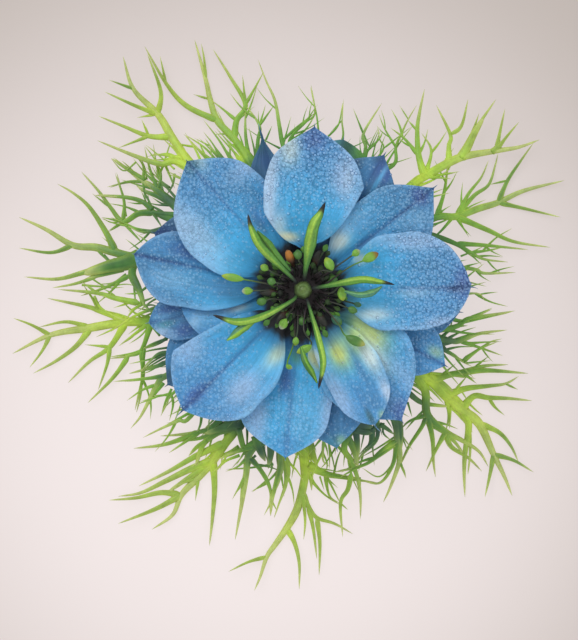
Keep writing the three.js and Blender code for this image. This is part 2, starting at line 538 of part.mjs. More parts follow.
/** One stamen: a thin filament that rises and bends out, ending in a long anther. */
function stamen(number, foot, azimuth, out, height, antherLength, antherRadius) {
  const ring = STAMEN.rings[number % STAMEN.rings.length];
  const end = polar(azimuth, out + antherLength / 2, height - 0.2);
  const curve = new THREE.CatmullRomCurve3([
    polar(foot, ring, STAMEN.foot),
    polar(foot, ring + 0.1, mix(STAMEN.foot, height, 0.6)),
    polar(azimuth, mix(ring, out, 0.55), height + 0.05),
    polar(azimuth, out - antherLength / 2, height),
    end,
  ]);
  const anther = antherLength / curve.getLength();
  return sweep(curve, evenly(curve, STAMEN.stations), STAMEN.sides, (t) => {
    const inside = THREE.MathUtils.clamp((t - 1 + anther) / anther, 0, 1);
    const swell = (antherRadius - 0.1) * Math.sin(Math.PI * inside) ** 0.7;
    const radius = Math.max(t < 1 ? STAMEN.filamentRadius : 0.08, swell);
    return [radius, radius];
  }, polar(azimuth + 90, 1, 0));
}

/** One nectary: a short claw and a swollen, lipped head that leans out over the sepals. */
function nectary(azimuth) {
  const curve = new THREE.CatmullRomCurve3([
    polar(azimuth, NECTARY.foot, RECEPTACLE.top + GAP),
    polar(azimuth, NECTARY.foot + 0.3, RECEPTACLE.top + 1.1),
    polar(azimuth, NECTARY.foot + 1.1, RECEPTACLE.top + 2.1),
    polar(azimuth, NECTARY.foot + 2.2, RECEPTACLE.top + 2.5),
  ]);
  const head = NECTARY.headLength / curve.getLength();
  return sweep(curve, evenly(curve, NECTARY.stations), NECTARY.sides, (t) => {
    const inside = THREE.MathUtils.clamp((t - 1 + head) / head, 0, 1);
    const radius = mix(NECTARY.clawRadius, NECTARY.headRadius, Math.sin(Math.PI * inside));
    return [t < 1 ? radius * 1.2 : 0.12, t < 1 ? radius * 0.8 : 0.1];
  }, polar(azimuth + 90, 1, 0));
}

/** Ovary of five grown-together carpels, with a domed top. */
function ovary() {
  const sides = 20;
  const shape = [[0, 0.75], [0.25, 0.95], [0.5, 1], [0.75, 0.95], [0.92, 0.75], [1, 0.35]];
  return loft(shape.map(([share, scale]) => {
    const ring = [];
    for (let j = 0; j < sides; j++) {
      const angle = (2 * Math.PI * (j + 0.5)) / sides;
      const rib = 1 + PISTIL.ribDepth * Math.cos(PISTIL.ribs * angle);
      const radius = PISTIL.radius * scale * rib;
      const height = mix(PISTIL.foot, PISTIL.top, share);
      ring.push(new THREE.Vector3(radius * Math.cos(angle), radius * Math.sin(angle), height));
    }
    return ring;
  }));
}

/** One style: a flat, tapering blade that rises from the ovary and spreads over the stamens. */
function style(places) {
  const curve = new THREE.CatmullRomCurve3(places.map((place) => new THREE.Vector3(...place)));
  return sweep(curve, evenly(curve, STYLE.stations), STYLE.sides, (t) => {
    const span = t * (STYLE.widths.length - 1);
    const from = Math.min(Math.floor(span), STYLE.widths.length - 2);
    const half = mix(STYLE.widths[from], STYLE.widths[from + 1], span - from) / 2;
    return [half, half * STYLE.flatness];
  });
}

/** The pistil: ovary and styles grown together. */
function pistil() {
  return join([ovary(), ...STYLES.map(style)]);
}

// ---------------------------------------------------------------- the flower
const flower = new THREE.Group();

function place(name, geometry, material) {
  const mesh = new THREE.Mesh(geometry, material);
  mesh.name = name;
  flower.add(mesh);
}

place("stem", stem(), materials.stem);
for (const [name, tier, threads] of BRACTS) place(name, bract(tier, threads), materials.bract);
for (const [name, ...shape] of SEPALS) place(name, sepal(...shape), materials.sepal);
NECTARIES.forEach((azimuth, i) => place(`nectary_${i + 1}`, nectary(azimuth), materials.nectary));
STAMENS.forEach((shape, i) => place(`stamen_${i + 1}`, stamen(i, ...shape), materials.stamen));
place("pistil", pistil(), materials.pistil);

// The origin goes to the bottom centre of the flower's box.
const box = new THREE.Box3().setFromObject(flower, true);
const middle = box.getCenter(new THREE.Vector3());
flower.position.set(-middle.x, -middle.y, -box.min.z);

const group = new THREE.Group();
group.add(flower);
group.updateMatrixWorld(true);

export default group;
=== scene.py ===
"""Looks of a double love in a mist flower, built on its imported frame.

Every shape is worked out in millimetres from the flower's own axis, with +Z up and height 0 at
the cut end of the stem. Bed.piece moves it to its place in the frame, in metres. Where a place
is given in steps, a step is 0.135 mm, counted to the right of the axis and up the face.
"""

import logging
import math
from collections.abc import Iterable, Sequence
from dataclasses import dataclass
from enum import Enum

import bpy
import numpy as np
from numpy.typing import NDArray
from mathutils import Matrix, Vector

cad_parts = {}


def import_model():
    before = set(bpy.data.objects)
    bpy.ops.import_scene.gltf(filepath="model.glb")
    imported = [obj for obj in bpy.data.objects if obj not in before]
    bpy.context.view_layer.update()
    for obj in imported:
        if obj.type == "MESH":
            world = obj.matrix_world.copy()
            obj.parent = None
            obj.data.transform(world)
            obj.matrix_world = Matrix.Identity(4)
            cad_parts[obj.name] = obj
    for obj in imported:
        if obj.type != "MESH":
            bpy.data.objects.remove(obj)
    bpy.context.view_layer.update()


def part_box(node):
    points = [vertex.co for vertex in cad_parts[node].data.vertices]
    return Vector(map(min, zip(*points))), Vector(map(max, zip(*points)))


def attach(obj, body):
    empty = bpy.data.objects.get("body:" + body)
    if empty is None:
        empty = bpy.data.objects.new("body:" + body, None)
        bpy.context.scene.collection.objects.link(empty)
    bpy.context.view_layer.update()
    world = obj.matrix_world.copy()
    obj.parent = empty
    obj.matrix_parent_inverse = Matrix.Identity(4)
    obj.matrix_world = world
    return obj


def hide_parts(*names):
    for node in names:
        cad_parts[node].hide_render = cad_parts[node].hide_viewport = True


Array = NDArray[np.float64]
LOG = logging.getLogger("love_in_a_mist")
STEP = 0.135  # mm in a step
MM = 0.001  # metres in a millimetre
CHANNEL = 32.0  # half-width in degrees of the channel along a tube


# ------------------------------------------------------------------------------ colours
class Hue(Enum):
    """The flower's colours, and those of the light and shade painted on it, as sRGB hex codes."""

    SKY = "42a8e0"
    PALE = "80bbe6"
    LILAC = "9dbde6"
    MIST = "b9d2ee"
    WHITE = "d4e6e6"
    CREAM = "e3e8c6"
    MID = "4c95cf"
    DEEP = "4583b4"
    VIOLET = "3f5ba0"
    INDIGO = "345796"
    NAVY = "234379"
    SLATE = "35566e"
    TEAL = "2f6374"
    SEA = "3f8690"
    YELLOW = "d6de70"
    CELERY = "b4d09a"
    SPRUCE = "2a5044"
    SHADE = "25262b"
    MAROON = "30262a"
    SOOT = "1c1a1c"
    LIME = "c6e446"
    GRASS = "86ba38"
    FERN = "5c9636"
    PINE = "397030"
    STRAW = "c6cc86"
    BUD = "96d84e"
    BUD_DIM = "62a048"
    IVORY = "e6ecca"
    RUST = "b4762e"
    UMBER = "3a2418"
    PITH = "c9d3a0"
    PEAR = "bcd884"
    STORM = "406c90"
    JADE = "4d8a6e"
    PEAT = "23261f"
    DRAB = "4c5e30"
    OLIVE = "a0b550"
    LEAF = "86b246"
    # Painted highlight on the dew drops.
    DEW_GLINT = "a9d2f0"
    # Painted rim light on the sides of the far bract threads.
    RIM_LIGHT = "c9d166"
    # Painted dark blue shadow round the stamens.
    STAMEN_SHADOW_BLUE = "2a4a7c"

    @property
    def rgb(self) -> Array:
        """Red, green and blue from 0 to 1, as sRGB."""
        return np.array([int(self.value[i : i + 2], 16) / 255 for i in (0, 2, 4)])


def linear(rgb: Array) -> Array:
    """sRGB values as linear light: (c / 12.92) below 0.04045, else ((c + 0.055) / 1.055) ^ 2.4."""
    return np.where(rgb < 0.04045, rgb / 12.92, ((rgb + 0.055) / 1.055) ** 2.4)


def washed(tints: Array, *layers: tuple[Hue, Array | float]) -> Array:
    """Mixes colours into tints, one after another.

    Args:
        tints: Colours, (..., 3).
        layers: Each a colour, and how much of it, 0 to 1, (...).

    Returns:
        The mixed colours, (..., 3).
    """
    for hue, share in layers:
        part = np.clip(np.asarray(share, float), 0, 1)[..., None]
        tints = tints * (1 - part) + hue.rgb * part
    return tints


# ------------------------------------------------------------------------------ small maths
def smooth(value: Array | float, low: float, high: float) -> Array:
    """Rises from 0 at `low` to 1 at `high` as 3 s^2 - 2 s^3, with s the clipped share between."""
    s = np.clip((np.asarray(value, float) - low) / (high - low), 0, 1)
    return s * s * (3 - 2 * s)


def mix(a: Array | float, b: Array | float, share: Array | float) -> Array:
    """a * (1 - share) + b * share."""
    return np.asarray(a) * (1 - np.asarray(share)) + np.asarray(b) * np.asarray(share)


def bell(offset: Array, width: float) -> Array:
    """exp(-(offset / width)^2)."""
    return np.exp(-((offset / width) ** 2))


def polar(azimuth: float, distance: float, height: float) -> Array:
    """A place from its azimuth in degrees, its distance from the axis and its height."""
    angle = math.radians(azimuth)
    return np.array([distance * math.cos(angle), distance * math.sin(angle), height])


def unit(vectors: Array) -> Array:
    """The vectors, (..., 3), at length 1."""
    return vectors / np.maximum(np.linalg.norm(vectors, axis=-1, keepdims=True), 1e-12)


def spline(places: Array, spacing: float) -> Array:
    """Points on the Catmull-Rom curve through some places.

    Between places b and c, with neighbours a and d, the point at share f is
    (2b + (c - a) f + (2a - 5b + 4c - d) f^2 + (3b - 3c + d - a) f^3) / 2.

    Args:
        places: At least two places, (n, 3).
        spacing: About how far apart the points are, in mm.

    Returns:
        Points from the first place to the last, (m, 3).
    """
    spans = np.linalg.norm(np.diff(places, axis=0), axis=1)
    count = max(4, int(spans.sum() / spacing))
    lengths = np.concatenate([[0], np.cumsum(spans)])
    s = np.interp(np.linspace(0, lengths[-1], count + 1), lengths, np.arange(len(places)))
    i = np.minimum(s.astype(int), len(places) - 2)
    f = (s - i)[:, None]
    padded = np.vstack([2 * places[0] - places[1], places, 2 * places[-1] - places[-2]])
    a, b, c, d = (padded[i + k] for k in range(4))
    cubic = 2 * b + (c - a) * f + (2 * a - 5 * b + 4 * c - d) * f**2 + (3 * b - 3 * c + d - a) * f**3
    return cubic / 2


def lengths_along(path: Array) -> Array:
    """Distance along a path at each of its points."""
    return np.concatenate([[0], np.cumsum(np.linalg.norm(np.diff(path, axis=0), axis=1))])


def from_axis(places: Array) -> Array:
    """Level distance of places, (..., 2 or 3), from the flower's axis."""
    return np.hypot(places[..., 0], places[..., 1])


def last_part(run: Array, length: float) -> Array:
    """How far along the last `length` mm of a path its points are: 0 before it, 1 at the end."""
    return np.clip((run - run[-1] + length) / length, 0, 1)


def ring_angles(sides: int, start: float = 0.0) -> Array:
    """Angles in radians of the points of a ring, whose first lies `start` of a step round."""
    return 2 * np.pi * (np.arange(sides) + start) / sides


# ------------------------------------------------------------------------------ surfaces
@dataclass
class Skin:
    """A closed surface with what its finish needs at each point.

    points are in mm, (n, 3). tint is a colour and how dewy the place is, (n, 4). grain is the
    place in the surface's own grain, (n, 3).
    """

    points: Array
    quads: NDArray[np.int64]
    tris: NDArray[np.int64]
    tint: Array
    grain: Array

    @staticmethod
    def joined(skins: Sequence["Skin"]) -> "Skin":
        """One skin that holds several."""
        offsets = np.cumsum([0] + [len(skin.points) for skin in skins[:-1]])
        parts = [(s.points, s.quads + n, s.tris + n, s.tint, s.grain) for s, n in zip(skins, offsets)]
        return Skin(*(np.vstack(part) for part in zip(*parts)))

    def outward(self) -> "Skin":
        """The skin with its faces pointing out: turned if the volume it encloses is negative."""
        corners = np.vstack([self.quads[:, [0, 1, 2]], self.quads[:, [0, 2, 3]], self.tris])
        a, b, c = (self.points[corners[:, k]] for k in range(3))
        if np.einsum("ij,ij->i", a, np.cross(b, c)).sum() < 0:
            self.quads, self.tris = self.quads[:, ::-1], self.tris[:, ::-1]
        return self


def lattice(rows: int, columns: int, wrapped: bool) -> NDArray[np.int64]:
    """Quads between the points of a grid, whose last column meets the first if it is wrapped."""
    r = np.arange(rows - 1)[:, None]
    c = np.arange(columns if wrapped else columns - 1)[None, :]
    d = (c + 1) % columns
    corners = [r * columns + c, r * columns + d, (r + 1) * columns + d, (r + 1) * columns + c]
    return np.stack(np.broadcast_arrays(*corners), -1).reshape(-1, 4)


def closed_tube(rings: Array, tints: Array, grain: Array) -> Skin:
    """A skin through rings of points, closed by a fan of triangles at each end.

    Args:
        rings: Points, (rows, sides, 3).
        tints: Their colours, which stretch to (rows, sides, 3).
        grain: Their places in the grain, (rows, sides, 3).

    Returns:
        The closed skin, without dew.
    """
    rows, sides = rings.shape[:2]
    tints = with_dew(np.broadcast_to(tints, rings.shape))
    flat = [part.reshape(rows * sides, -1) for part in (rings, tints, grain)]
    ends = [np.stack([part[0].mean(0), part[-1].mean(0)]) for part in (rings, tints, grain)]
    points, tint, grains = (np.vstack([a, b]) for a, b in zip(flat, ends))
    j = np.arange(sides)
    k = (j + 1) % sides
    first, last = rows * sides, (rows - 1) * sides
    fans = [
        np.stack([k, j, np.full(sides, first)], 1),
        np.stack([last + j, last + k, np.full(sides, first + 1)], 1),
    ]
    return Skin(points, lattice(rows, sides, True), np.vstack(fans), tint, grains).outward()


def turned(r: Array, high: Array, angle: Array, tints: Array, wide: float) -> Skin:
    """A closed skin turned round the axis.

    Args:
        r: Distances from the axis, (rows, sides).
        high: Heights, (rows, sides).
        angle: The angle of each side, (sides).
        tints: Its colours, (rows, sides, 3).
        wide: How wide the grain runs round it.

    Returns:
        The closed skin.
    """
    turns = np.broadcast_to(np.stack([np.cos(angle), np.sin(angle)], -1), (*r.shape, 2))
    rings = np.concatenate([r[..., None] * turns, high[..., None]], -1)
    return closed_tube(rings, tints, np.concatenate([turns * wide, high[..., None]], -1))


def shell(top: Array, bottom: Array, tints: Array, under: Array, grain: Array) -> Skin:
    """A thin closed skin between a top and a bottom grid, joined all round its rim.

    Args:
        top: Points of the upper side, (rows, columns, 3).
        bottom: Points of the lower side, in the same order.
        tints: Tints of the upper side, (rows, columns, 4).
        under: Tints of the lower side.
        grain: Places in the grain, (rows, columns, 3), turned over on the lower side.

    Returns:
        The closed skin.
    """
    rows, columns = top.shape[:2]
    count = rows * columns
    index = np.arange(count).reshape(rows, columns)
    rim = np.concatenate([index[0, :-1], index[:-1, -1], index[-1, :0:-1], index[:0:-1, 0]])
    following = np.roll(rim, -1)
    upper = lattice(rows, columns, False)
    edge = np.stack([following, rim, rim + count, following + count], 1)
    quads = np.vstack([upper, upper[:, ::-1] + count, edge])
    turned = grain * np.array([1, 1, -1])
    stacked = [np.vstack([a.reshape(count, -1), b.reshape(count, -1)]) for a, b in
               ((top, bottom), (tints, under), (grain, turned))]
    return Skin(stacked[0], quads, np.empty((0, 3), int), stacked[1], stacked[2]).outward()


def ringed(
    path: Array, half_width: Array, half_height: Array, sides: int, groove: float = 0.0,
    across: Array | None = None,
) -> tuple[Array, Array]:
    """Rings round a path.

    At angle a a ring's point is path + side * half_width * r * cos a + up * half_height * r *
    sin a. The channel along the top is r = 1 - groove * exp(-((a - 90) / CHANNEL)^2), in degrees.

    Args:
        path: Points along the middle, (rows, 3).
        half_width: Half-width at each, (rows).
        half_height: Half-height at each, (rows).
        sides: Points in a ring.
        groove: Depth of the channel, as a share of the half-height.
        across: The way the width runs; level if it isn't given.

    Returns:
        The rings, (rows, sides, 3), and their places in the grain, (rows, sides, 3).
    """
    along = unit(np.gradient(path, axis=0))
    level = np.cross(along, [0.0, 0.0, 1.0]) if across is None else np.tile(across, (len(path), 1))
    side = unit(level - along * np.einsum("ij,ij->i", level, along)[:, None])
    up = np.cross(side, along)
    angle = ring_angles(sides, 0.5)
    r = 1 - groove * bell(np.degrees(angle) - 90, CHANNEL)
    wide = (half_width[:, None] * r * np.cos(angle))[..., None] * side[:, None]
    high = (half_height[:, None] * r * np.sin(angle))[..., None] * up[:, None]
    turns = np.broadcast_to(np.stack([np.cos(angle), np.sin(angle)], -1), (len(path), sides, 2))
    run = np.broadcast_to(lengths_along(path)[:, None, None], (len(path), sides, 1))
    return path[:, None] + wide + high, np.concatenate([turns, run], -1)


def with_dew(tints: Array, dew: Array | float = 0.0) -> Array:
    """Tints, (..., 3), with how dewy each place is beside them, (..., 4)."""
    return np.concatenate([tints, np.broadcast_to(dew, tints.shape[:-1])[..., None]], -1)


# ------------------------------------------------------------------------------ shader maths
class Wire:
    """A value socket of a shader tree that takes part in arithmetic."""

    def __init__(self, shader: "Shader", socket: bpy.types.NodeSocket) -> None:
        """Wraps a socket of a shader's tree."""
        self.shader, self.socket = shader, socket

    def __add__(self, other: "Wire | float") -> "Wire":
        """The sum."""
        return self.shader.maths("ADD", self, other)

    def __sub__(self, other: "Wire | float") -> "Wire":
        """The difference."""
        return self.shader.maths("SUBTRACT", self, other)

    def __rsub__(self, other: "Wire | float") -> "Wire":
        """The difference, with the wire taken off the number."""
        return self.shader.maths("SUBTRACT", other, self)

    def __mul__(self, other: "Wire | float") -> "Wire":
        """The product."""
        return self.shader.maths("MULTIPLY", self, other)

    __radd__ = __add__
    __rmul__ = __mul__

    def below(self, other: "Wire | float") -> "Wire":
        """1 where the value is under the other, else 0."""
        return self.shader.maths("LESS_THAN", self, other)

    def ramp(self, low: float, high: float) -> "Wire":
        """Smoothly from 0 at `low` to 1 at `high`; falls if `high` is the lower number."""
        if high < low:
            return 1 - self.ramp(high, low)
        settings = {"interpolation_type": "SMOOTHSTEP"}
        inputs = {"Value": self, "From Min": low, "From Max": high}
        return Wire(self.shader, self.shader.node("ShaderNodeMapRange", settings, inputs).outputs[0])


class Shader:
    """A material whose shader tree is written as expressions."""

    def __init__(self, name: str) -> None:
        """Starts an empty material."""
        self.material = bpy.data.materials.new(name)
        self.material.use_nodes = True
        self.tree = self.material.node_tree
        self.tree.nodes.clear()

    def node(self, kind: str, settings: dict[str, object], inputs: dict[str | int, object]) -> bpy.types.Node:
        """Adds a node.

        Args:
            kind: The node's type.
            settings: Its own settings, set first.
            inputs: A number, a colour or what to link, for each socket's name or number.

        Returns:
            The node.
        """
        node = self.tree.nodes.new(kind)
        for name, value in settings.items():
            setattr(node, name, value)
        for key, value in inputs.items():
            if isinstance(value, Wire):
                value = value.socket
            if isinstance(value, bpy.types.NodeSocket):
                self.tree.links.new(value, node.inputs[key])
            else:
                node.inputs[key].default_value = value
        return node

    def maths(self, operation: str, a: Wire | float, b: Wire | float) -> Wire:
        """One arithmetic step on two values."""
        return Wire(self, self.node("ShaderNodeMath", {"operation": operation}, {0: a, 1: b}).outputs[0])

    def attribute(self, name: str) -> bpy.types.Node:
        """What a piece stores at its points under that name."""
        return self.node("ShaderNodeAttribute", {"attribute_name": name}, {})

    def stretched(self, vector: bpy.types.NodeSocket, by: Sequence[float]) -> bpy.types.NodeSocket:
        """A vector, multiplied part by part."""
        settings = {"operation": "MULTIPLY"}
        return self.node("ShaderNodeVectorMath", settings, {0: vector, 1: tuple(by)}).outputs[0]

    def place(self) -> bpy.types.NodeSocket:
        """The place on the flower, in mm."""
        here = self.node("ShaderNodeTexCoord", {}, {}).outputs["Object"]
        return self.stretched(here, (1 / MM,) * 3)

    def noise(self, vector: bpy.types.NodeSocket, scale: float, detail: float = 2.0) -> Wire:
        """Soft noise from about -0.5 to 0.5."""
        inputs = {"Vector": vector, "Scale": scale, "Detail": detail, "Roughness": 0.55}
        return Wire(self, self.node("ShaderNodeTexNoise", {}, inputs).outputs[0]) - 0.5

    def scaled(self, colour: bpy.types.NodeSocket, by: Wire) -> bpy.types.NodeSocket:
        """A colour, made lighter or darker."""
        inputs = {0: colour, "Scale": by}
        return self.node("ShaderNodeVectorMath", {"operation": "SCALE"}, inputs).outputs[0]

    def blend(self, share: Wire, a: object, b: object) -> bpy.types.NodeSocket:
        """Colour a, mixed with colour b by share."""
        settings = {"data_type": "RGBA"}
        return self.node("ShaderNodeMix", settings, {0: share, 6: a, 7: b}).outputs[2]

    def bump(self, height: Wire, depth: float) -> bpy.types.NodeSocket:
        """A normal from a height, whose unit is `depth` mm."""
        inputs = {"Height": height, "Distance": depth * MM, "Strength": 1.0}
        return self.node("ShaderNodeBump", {}, inputs).outputs[0]

    def surface(self, **inputs: object) -> bpy.types.Material:
        """Ends the tree in a Principled surface, whose sockets are named with _ for a space."""
        named = {key.replace("_", " "): value for key, value in inputs.items()}
        body = self.node("ShaderNodeBsdfPrincipled", {}, named)
        self.node("ShaderNodeOutputMaterial", {}, {0: body.outputs[0]})
        return self.material


def paint(hue: Hue) -> tuple[float, ...]:
    """A colour as a shader socket takes it."""
    return (*linear(hue.rgb), 1.0)


# ------------------------------------------------------------------------------ finishes
@dataclass(frozen=True)
class PetalSilk:
    """Silky blue petal: veins along the blade, soft clouds of colour and dew, drop beside drop.

    The first four numbers say how much each thing changes the light. drops and mist are cells
    of large and fine dew to the mm. The drops are painted lighter, a painted highlight, and the
    gaps round them darker, painted shade.
    """

    name: str = "petal_silk"
    veins: float = 0.55
    threads: float = 0.35
    clouds: float = 0.5
    flecks: float = 0.3
    drops: float = 2.1
    mist: float = 4.0
    roughness: float = 0.52
    relief: float = 0.06
    vein_grain: tuple[float, ...] = (2.2, 0.13, 1.0)
    thread_grain: tuple[float, ...] = (7.0, 0.4, 1.0)
    fleck_grain: tuple[float, ...] = (1.5, 0.7, 1.0)
    cloud_scale: float = 0.55
    drop_edge: tuple[float, float] = (0.5, 0.18)
    gap_edge: tuple[float, float] = (0.4, 0.62)

    def drop(self, s: Shader, here: bpy.types.NodeSocket, scale: float, wet: Wire) -> tuple[Wire, Wire]:
        """Cells of dew: how much of a drop, which gets a painted highlight, and how much of the gap round it, which
        gets painted shade, a place has.
        """
        inputs = {"Vector": here, "Scale": scale}
        cells = s.node("ShaderNodeTexVoronoi", {"voronoi_dimensions": "2D"}, inputs)
        away = Wire(s, cells.outputs["Distance"])
        picks = s.node("ShaderNodeSeparateXYZ", {}, {0: cells.outputs["Color"]})
        there = Wire(s, picks.outputs[0]).below(wet) * (Wire(s, picks.outputs[1]) * 0.6 + 0.4)
        return away.ramp(*self.drop_edge) * there, away.ramp(*self.gap_edge) * wet

    def material(self) -> bpy.types.Material:
        """The tint with veins, clouds and two sizes of dew, painted lighter on the drops and darker in the gaps,
        and the relief of them all.
        """
        s = Shader(self.name)
        tint, grain, here = s.attribute("tint"), s.attribute("grain").outputs["Vector"], s.place()
        wet = Wire(s, tint.outputs["Alpha"])
        vein = s.noise(s.stretched(grain, self.vein_grain), 1.0, 3)
        fine = s.noise(s.stretched(grain, self.thread_grain), 1.0)
        cloud = s.noise(here, self.cloud_scale, 4)
        fleck = s.noise(s.stretched(grain, self.fleck_grain), 1.0)
        big, gap = self.drop(s, here, self.drops, wet)
        small, crack = self.drop(s, here, self.mist, wet)
        light = 1 + vein * self.veins + fine * self.threads + cloud * self.clouds + fleck * self.flecks
        # Painted shade in the gaps round the drops, and a painted highlight blended onto the drops.
        light = light * (1 - gap * 0.28 - crack * 0.18)
        colour = s.blend(big * 0.3 + small * 0.14, s.scaled(tint.outputs["Color"], light), paint(Hue.DEW_GLINT))
        height = vein * 0.6 + fine * 0.3 + big * 0.8 + small * 0.35
        return s.surface(
            Base_Color=colour, Roughness=self.roughness - big * 0.22, Normal=s.bump(height, self.relief),
            Sheen_Weight=0.08, Sheen_Roughness=0.4, Specular_IOR_Level=0.35,
        )


@dataclass(frozen=True)
class DewBead:
    """A bead of dew in the petal's colour, with painted shade at its rim and a painted highlight on top, under a
    clear gloss.
    """

    name: str = "dew_bead"
    roughness: float = 0.16

    def material(self) -> bpy.types.Material:
        """The bead's tint, hardly clouded, with a clear coat."""
        s = Shader(self.name)
        tint = s.attribute("tint").outputs["Color"]
        colour = s.scaled(tint, 1 + s.noise(s.place(), 3.0) * 0.2)
        return s.surface(
            Base_Color=colour, Roughness=self.roughness, Coat_Weight=0.5, Coat_Roughness=0.06,
            Specular_IOR_Level=0.5,
        )


@dataclass(frozen=True)
class GreenSkin:
    """Green plant skin with streaks along it: stem, bract, anther or style."""

    name: str
    streaks: float = 0.3
    clouds: float = 0.25
    roughness: float = 0.46
    coat: float = 0.12
    relief: float = 0.03
    flecks: float = 0.2
    streak_grain: tuple[float, ...] = (2.6, 2.6, 0.35)
    cloud_scale: float = 0.9
    fleck_scale: float = 3.4

    def material(self) -> bpy.types.Material:
        """The tint with streaks that run along the piece and clouds that don't."""
        s = Shader(self.name)
        tint, grain = s.attribute("tint"), s.attribute("grain").outputs["Vector"]
        streak = s.noise(s.stretched(grain, self.streak_grain), 1.0, 3)
        cloud = s.noise(s.place(), self.cloud_scale, 3)
        fleck = s.noise(s.place(), self.fleck_scale)
        light = 1 + streak * self.streaks + cloud * self.clouds + fleck * self.flecks
        return s.surface(
            Base_Color=s.scaled(tint.outputs["Color"], light),
            Roughness=self.roughness + cloud * 0.2, Normal=s.bump(streak, self.relief),
            Coat_Weight=self.coat, Coat_Roughness=0.3, Specular_IOR_Level=0.4,
        )


@dataclass(frozen=True)
class Ground:
    """Pale ground under the flower that glows like a light table: painted light, brightest below the flower and to
    its left, which washes out the flower's shadow.
    """

    name: str = "ground"
    paper: tuple[float, float, float] = (0.49, 0.47, 0.46)
    brightest: tuple[float, float, float] = (-6.0, -13.0, 0.0)
    faded_at: float = 76.0
    cloud_scale: float = 0.08
    clouded: float = 0.95
    near: tuple[float, float, float, float] = (0.72, 0.65, 0.65, 1.0)
    far: tuple[float, float, float, float] = (0.33, 0.29, 0.265, 1.0)

    def material(self) -> bpy.types.Material:
        """A matt warm white with a painted glow, which fades as the square of a smooth step of the distance."""
        s = Shader(self.name)
        base = (*linear(np.array(self.paper)), 1.0)
        here = s.place()
        cloud = (s.noise(here, self.cloud_scale) + 0.5) * 0.5
        inputs = {0: here, 1: self.brightest}
        away = s.node("ShaderNodeVectorMath", {"operation": "DISTANCE"}, inputs).outputs["Value"]
        fade = Wire(s, away).ramp(0.0, self.faded_at)
        return s.surface(
            Base_Color=s.blend(cloud, base, tuple(c * self.clouded for c in base)), Roughness=0.9,
            Specular_IOR_Level=0.1, Emission_Strength=1.0,
            Emission_Color=s.blend(fade * fade, self.near, self.far),
        )


# ------------------------------------------------------------------------------ the bed
@dataclass
class Bed:
    """Where the flower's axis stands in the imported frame, in metres."""

    origin: Array
    pieces: int = 0

    @staticmethod
    def from_stem() -> "Bed":
        """The bed under the middle of the stem."""
        low, high = (np.array(corner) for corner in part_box("stem"))
        return Bed(np.array([(low[0] + high[0]) / 2, (low[1] + high[1]) / 2, low[2]]))

    def piece(
        self, name: str, skin: Skin, material: bpy.types.Material, slot: str,
        stands_for: Iterable[str] = (),
    ) -> bpy.types.Object:
        """Makes a mesh of a skin and hands it to the frame.

        Args:
            name: The piece's name.
            skin: Its shape.
            material: Its finish.
            slot: Not used.
            stands_for: Nodes of the frame that it replaces.

        Returns:
            The piece.
        """
        mesh = bpy.data.meshes.new(name)
        loops = np.concatenate([skin.quads.ravel(), skin.tris.ravel()]).astype(np.int32)
        tri_starts = 4 * len(skin.quads) + 3 * np.arange(len(skin.tris))
        starts = np.concatenate([4 * np.arange(len(skin.quads)), tri_starts]).astype(np.int32)
        mesh.vertices.add(len(skin.points))
        mesh.vertices.foreach_set("co", (self.origin + skin.points * MM).astype(np.float32).ravel())
        mesh.loops.add(len(loops))
        mesh.loops.foreach_set("vertex_index", loops)
        mesh.polygons.add(len(starts))
        mesh.polygons.foreach_set("loop_start", starts)
        mesh.polygons.foreach_set("use_smooth", np.ones(len(starts), bool))
        mesh.update(calc_edges=True)
        colours = np.concatenate([linear(np.clip(skin.tint[:, :3], 0, 1)), skin.tint[:, 3:]], 1)
        tint = mesh.attributes.new("tint", "FLOAT_COLOR", "POINT")
        tint.data.foreach_set("color", colours.astype(np.float32).ravel())
        grain = mesh.attributes.new("grain", "FLOAT_VECTOR", "POINT")
        grain.data.foreach_set("vector", skin.grain.astype(np.float32).ravel())
        mesh.materials.append(material)
        piece = bpy.data.objects.new(name, mesh)
        bpy.context.scene.collection.objects.link(piece)
        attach(piece, "root")
        if stands_for:
            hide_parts(*stands_for)
        self.pieces += 1
        LOG.info("%s: %d faces", name, len(starts))
        return piece


# ------------------------------------------------------------------------------ sepals
@dataclass(frozen=True)
class Wash:
    """A soft patch of colour: its middle in steps, its length and width in steps, its strength.

    It lies lengthwise along the sepal that it is on. Most are the sepal's own colour; a few,
    marked where they stand, are painted shade.
    """

    x: float
    y: float
    length: float
    width: float
    hue: Hue
    strength: float


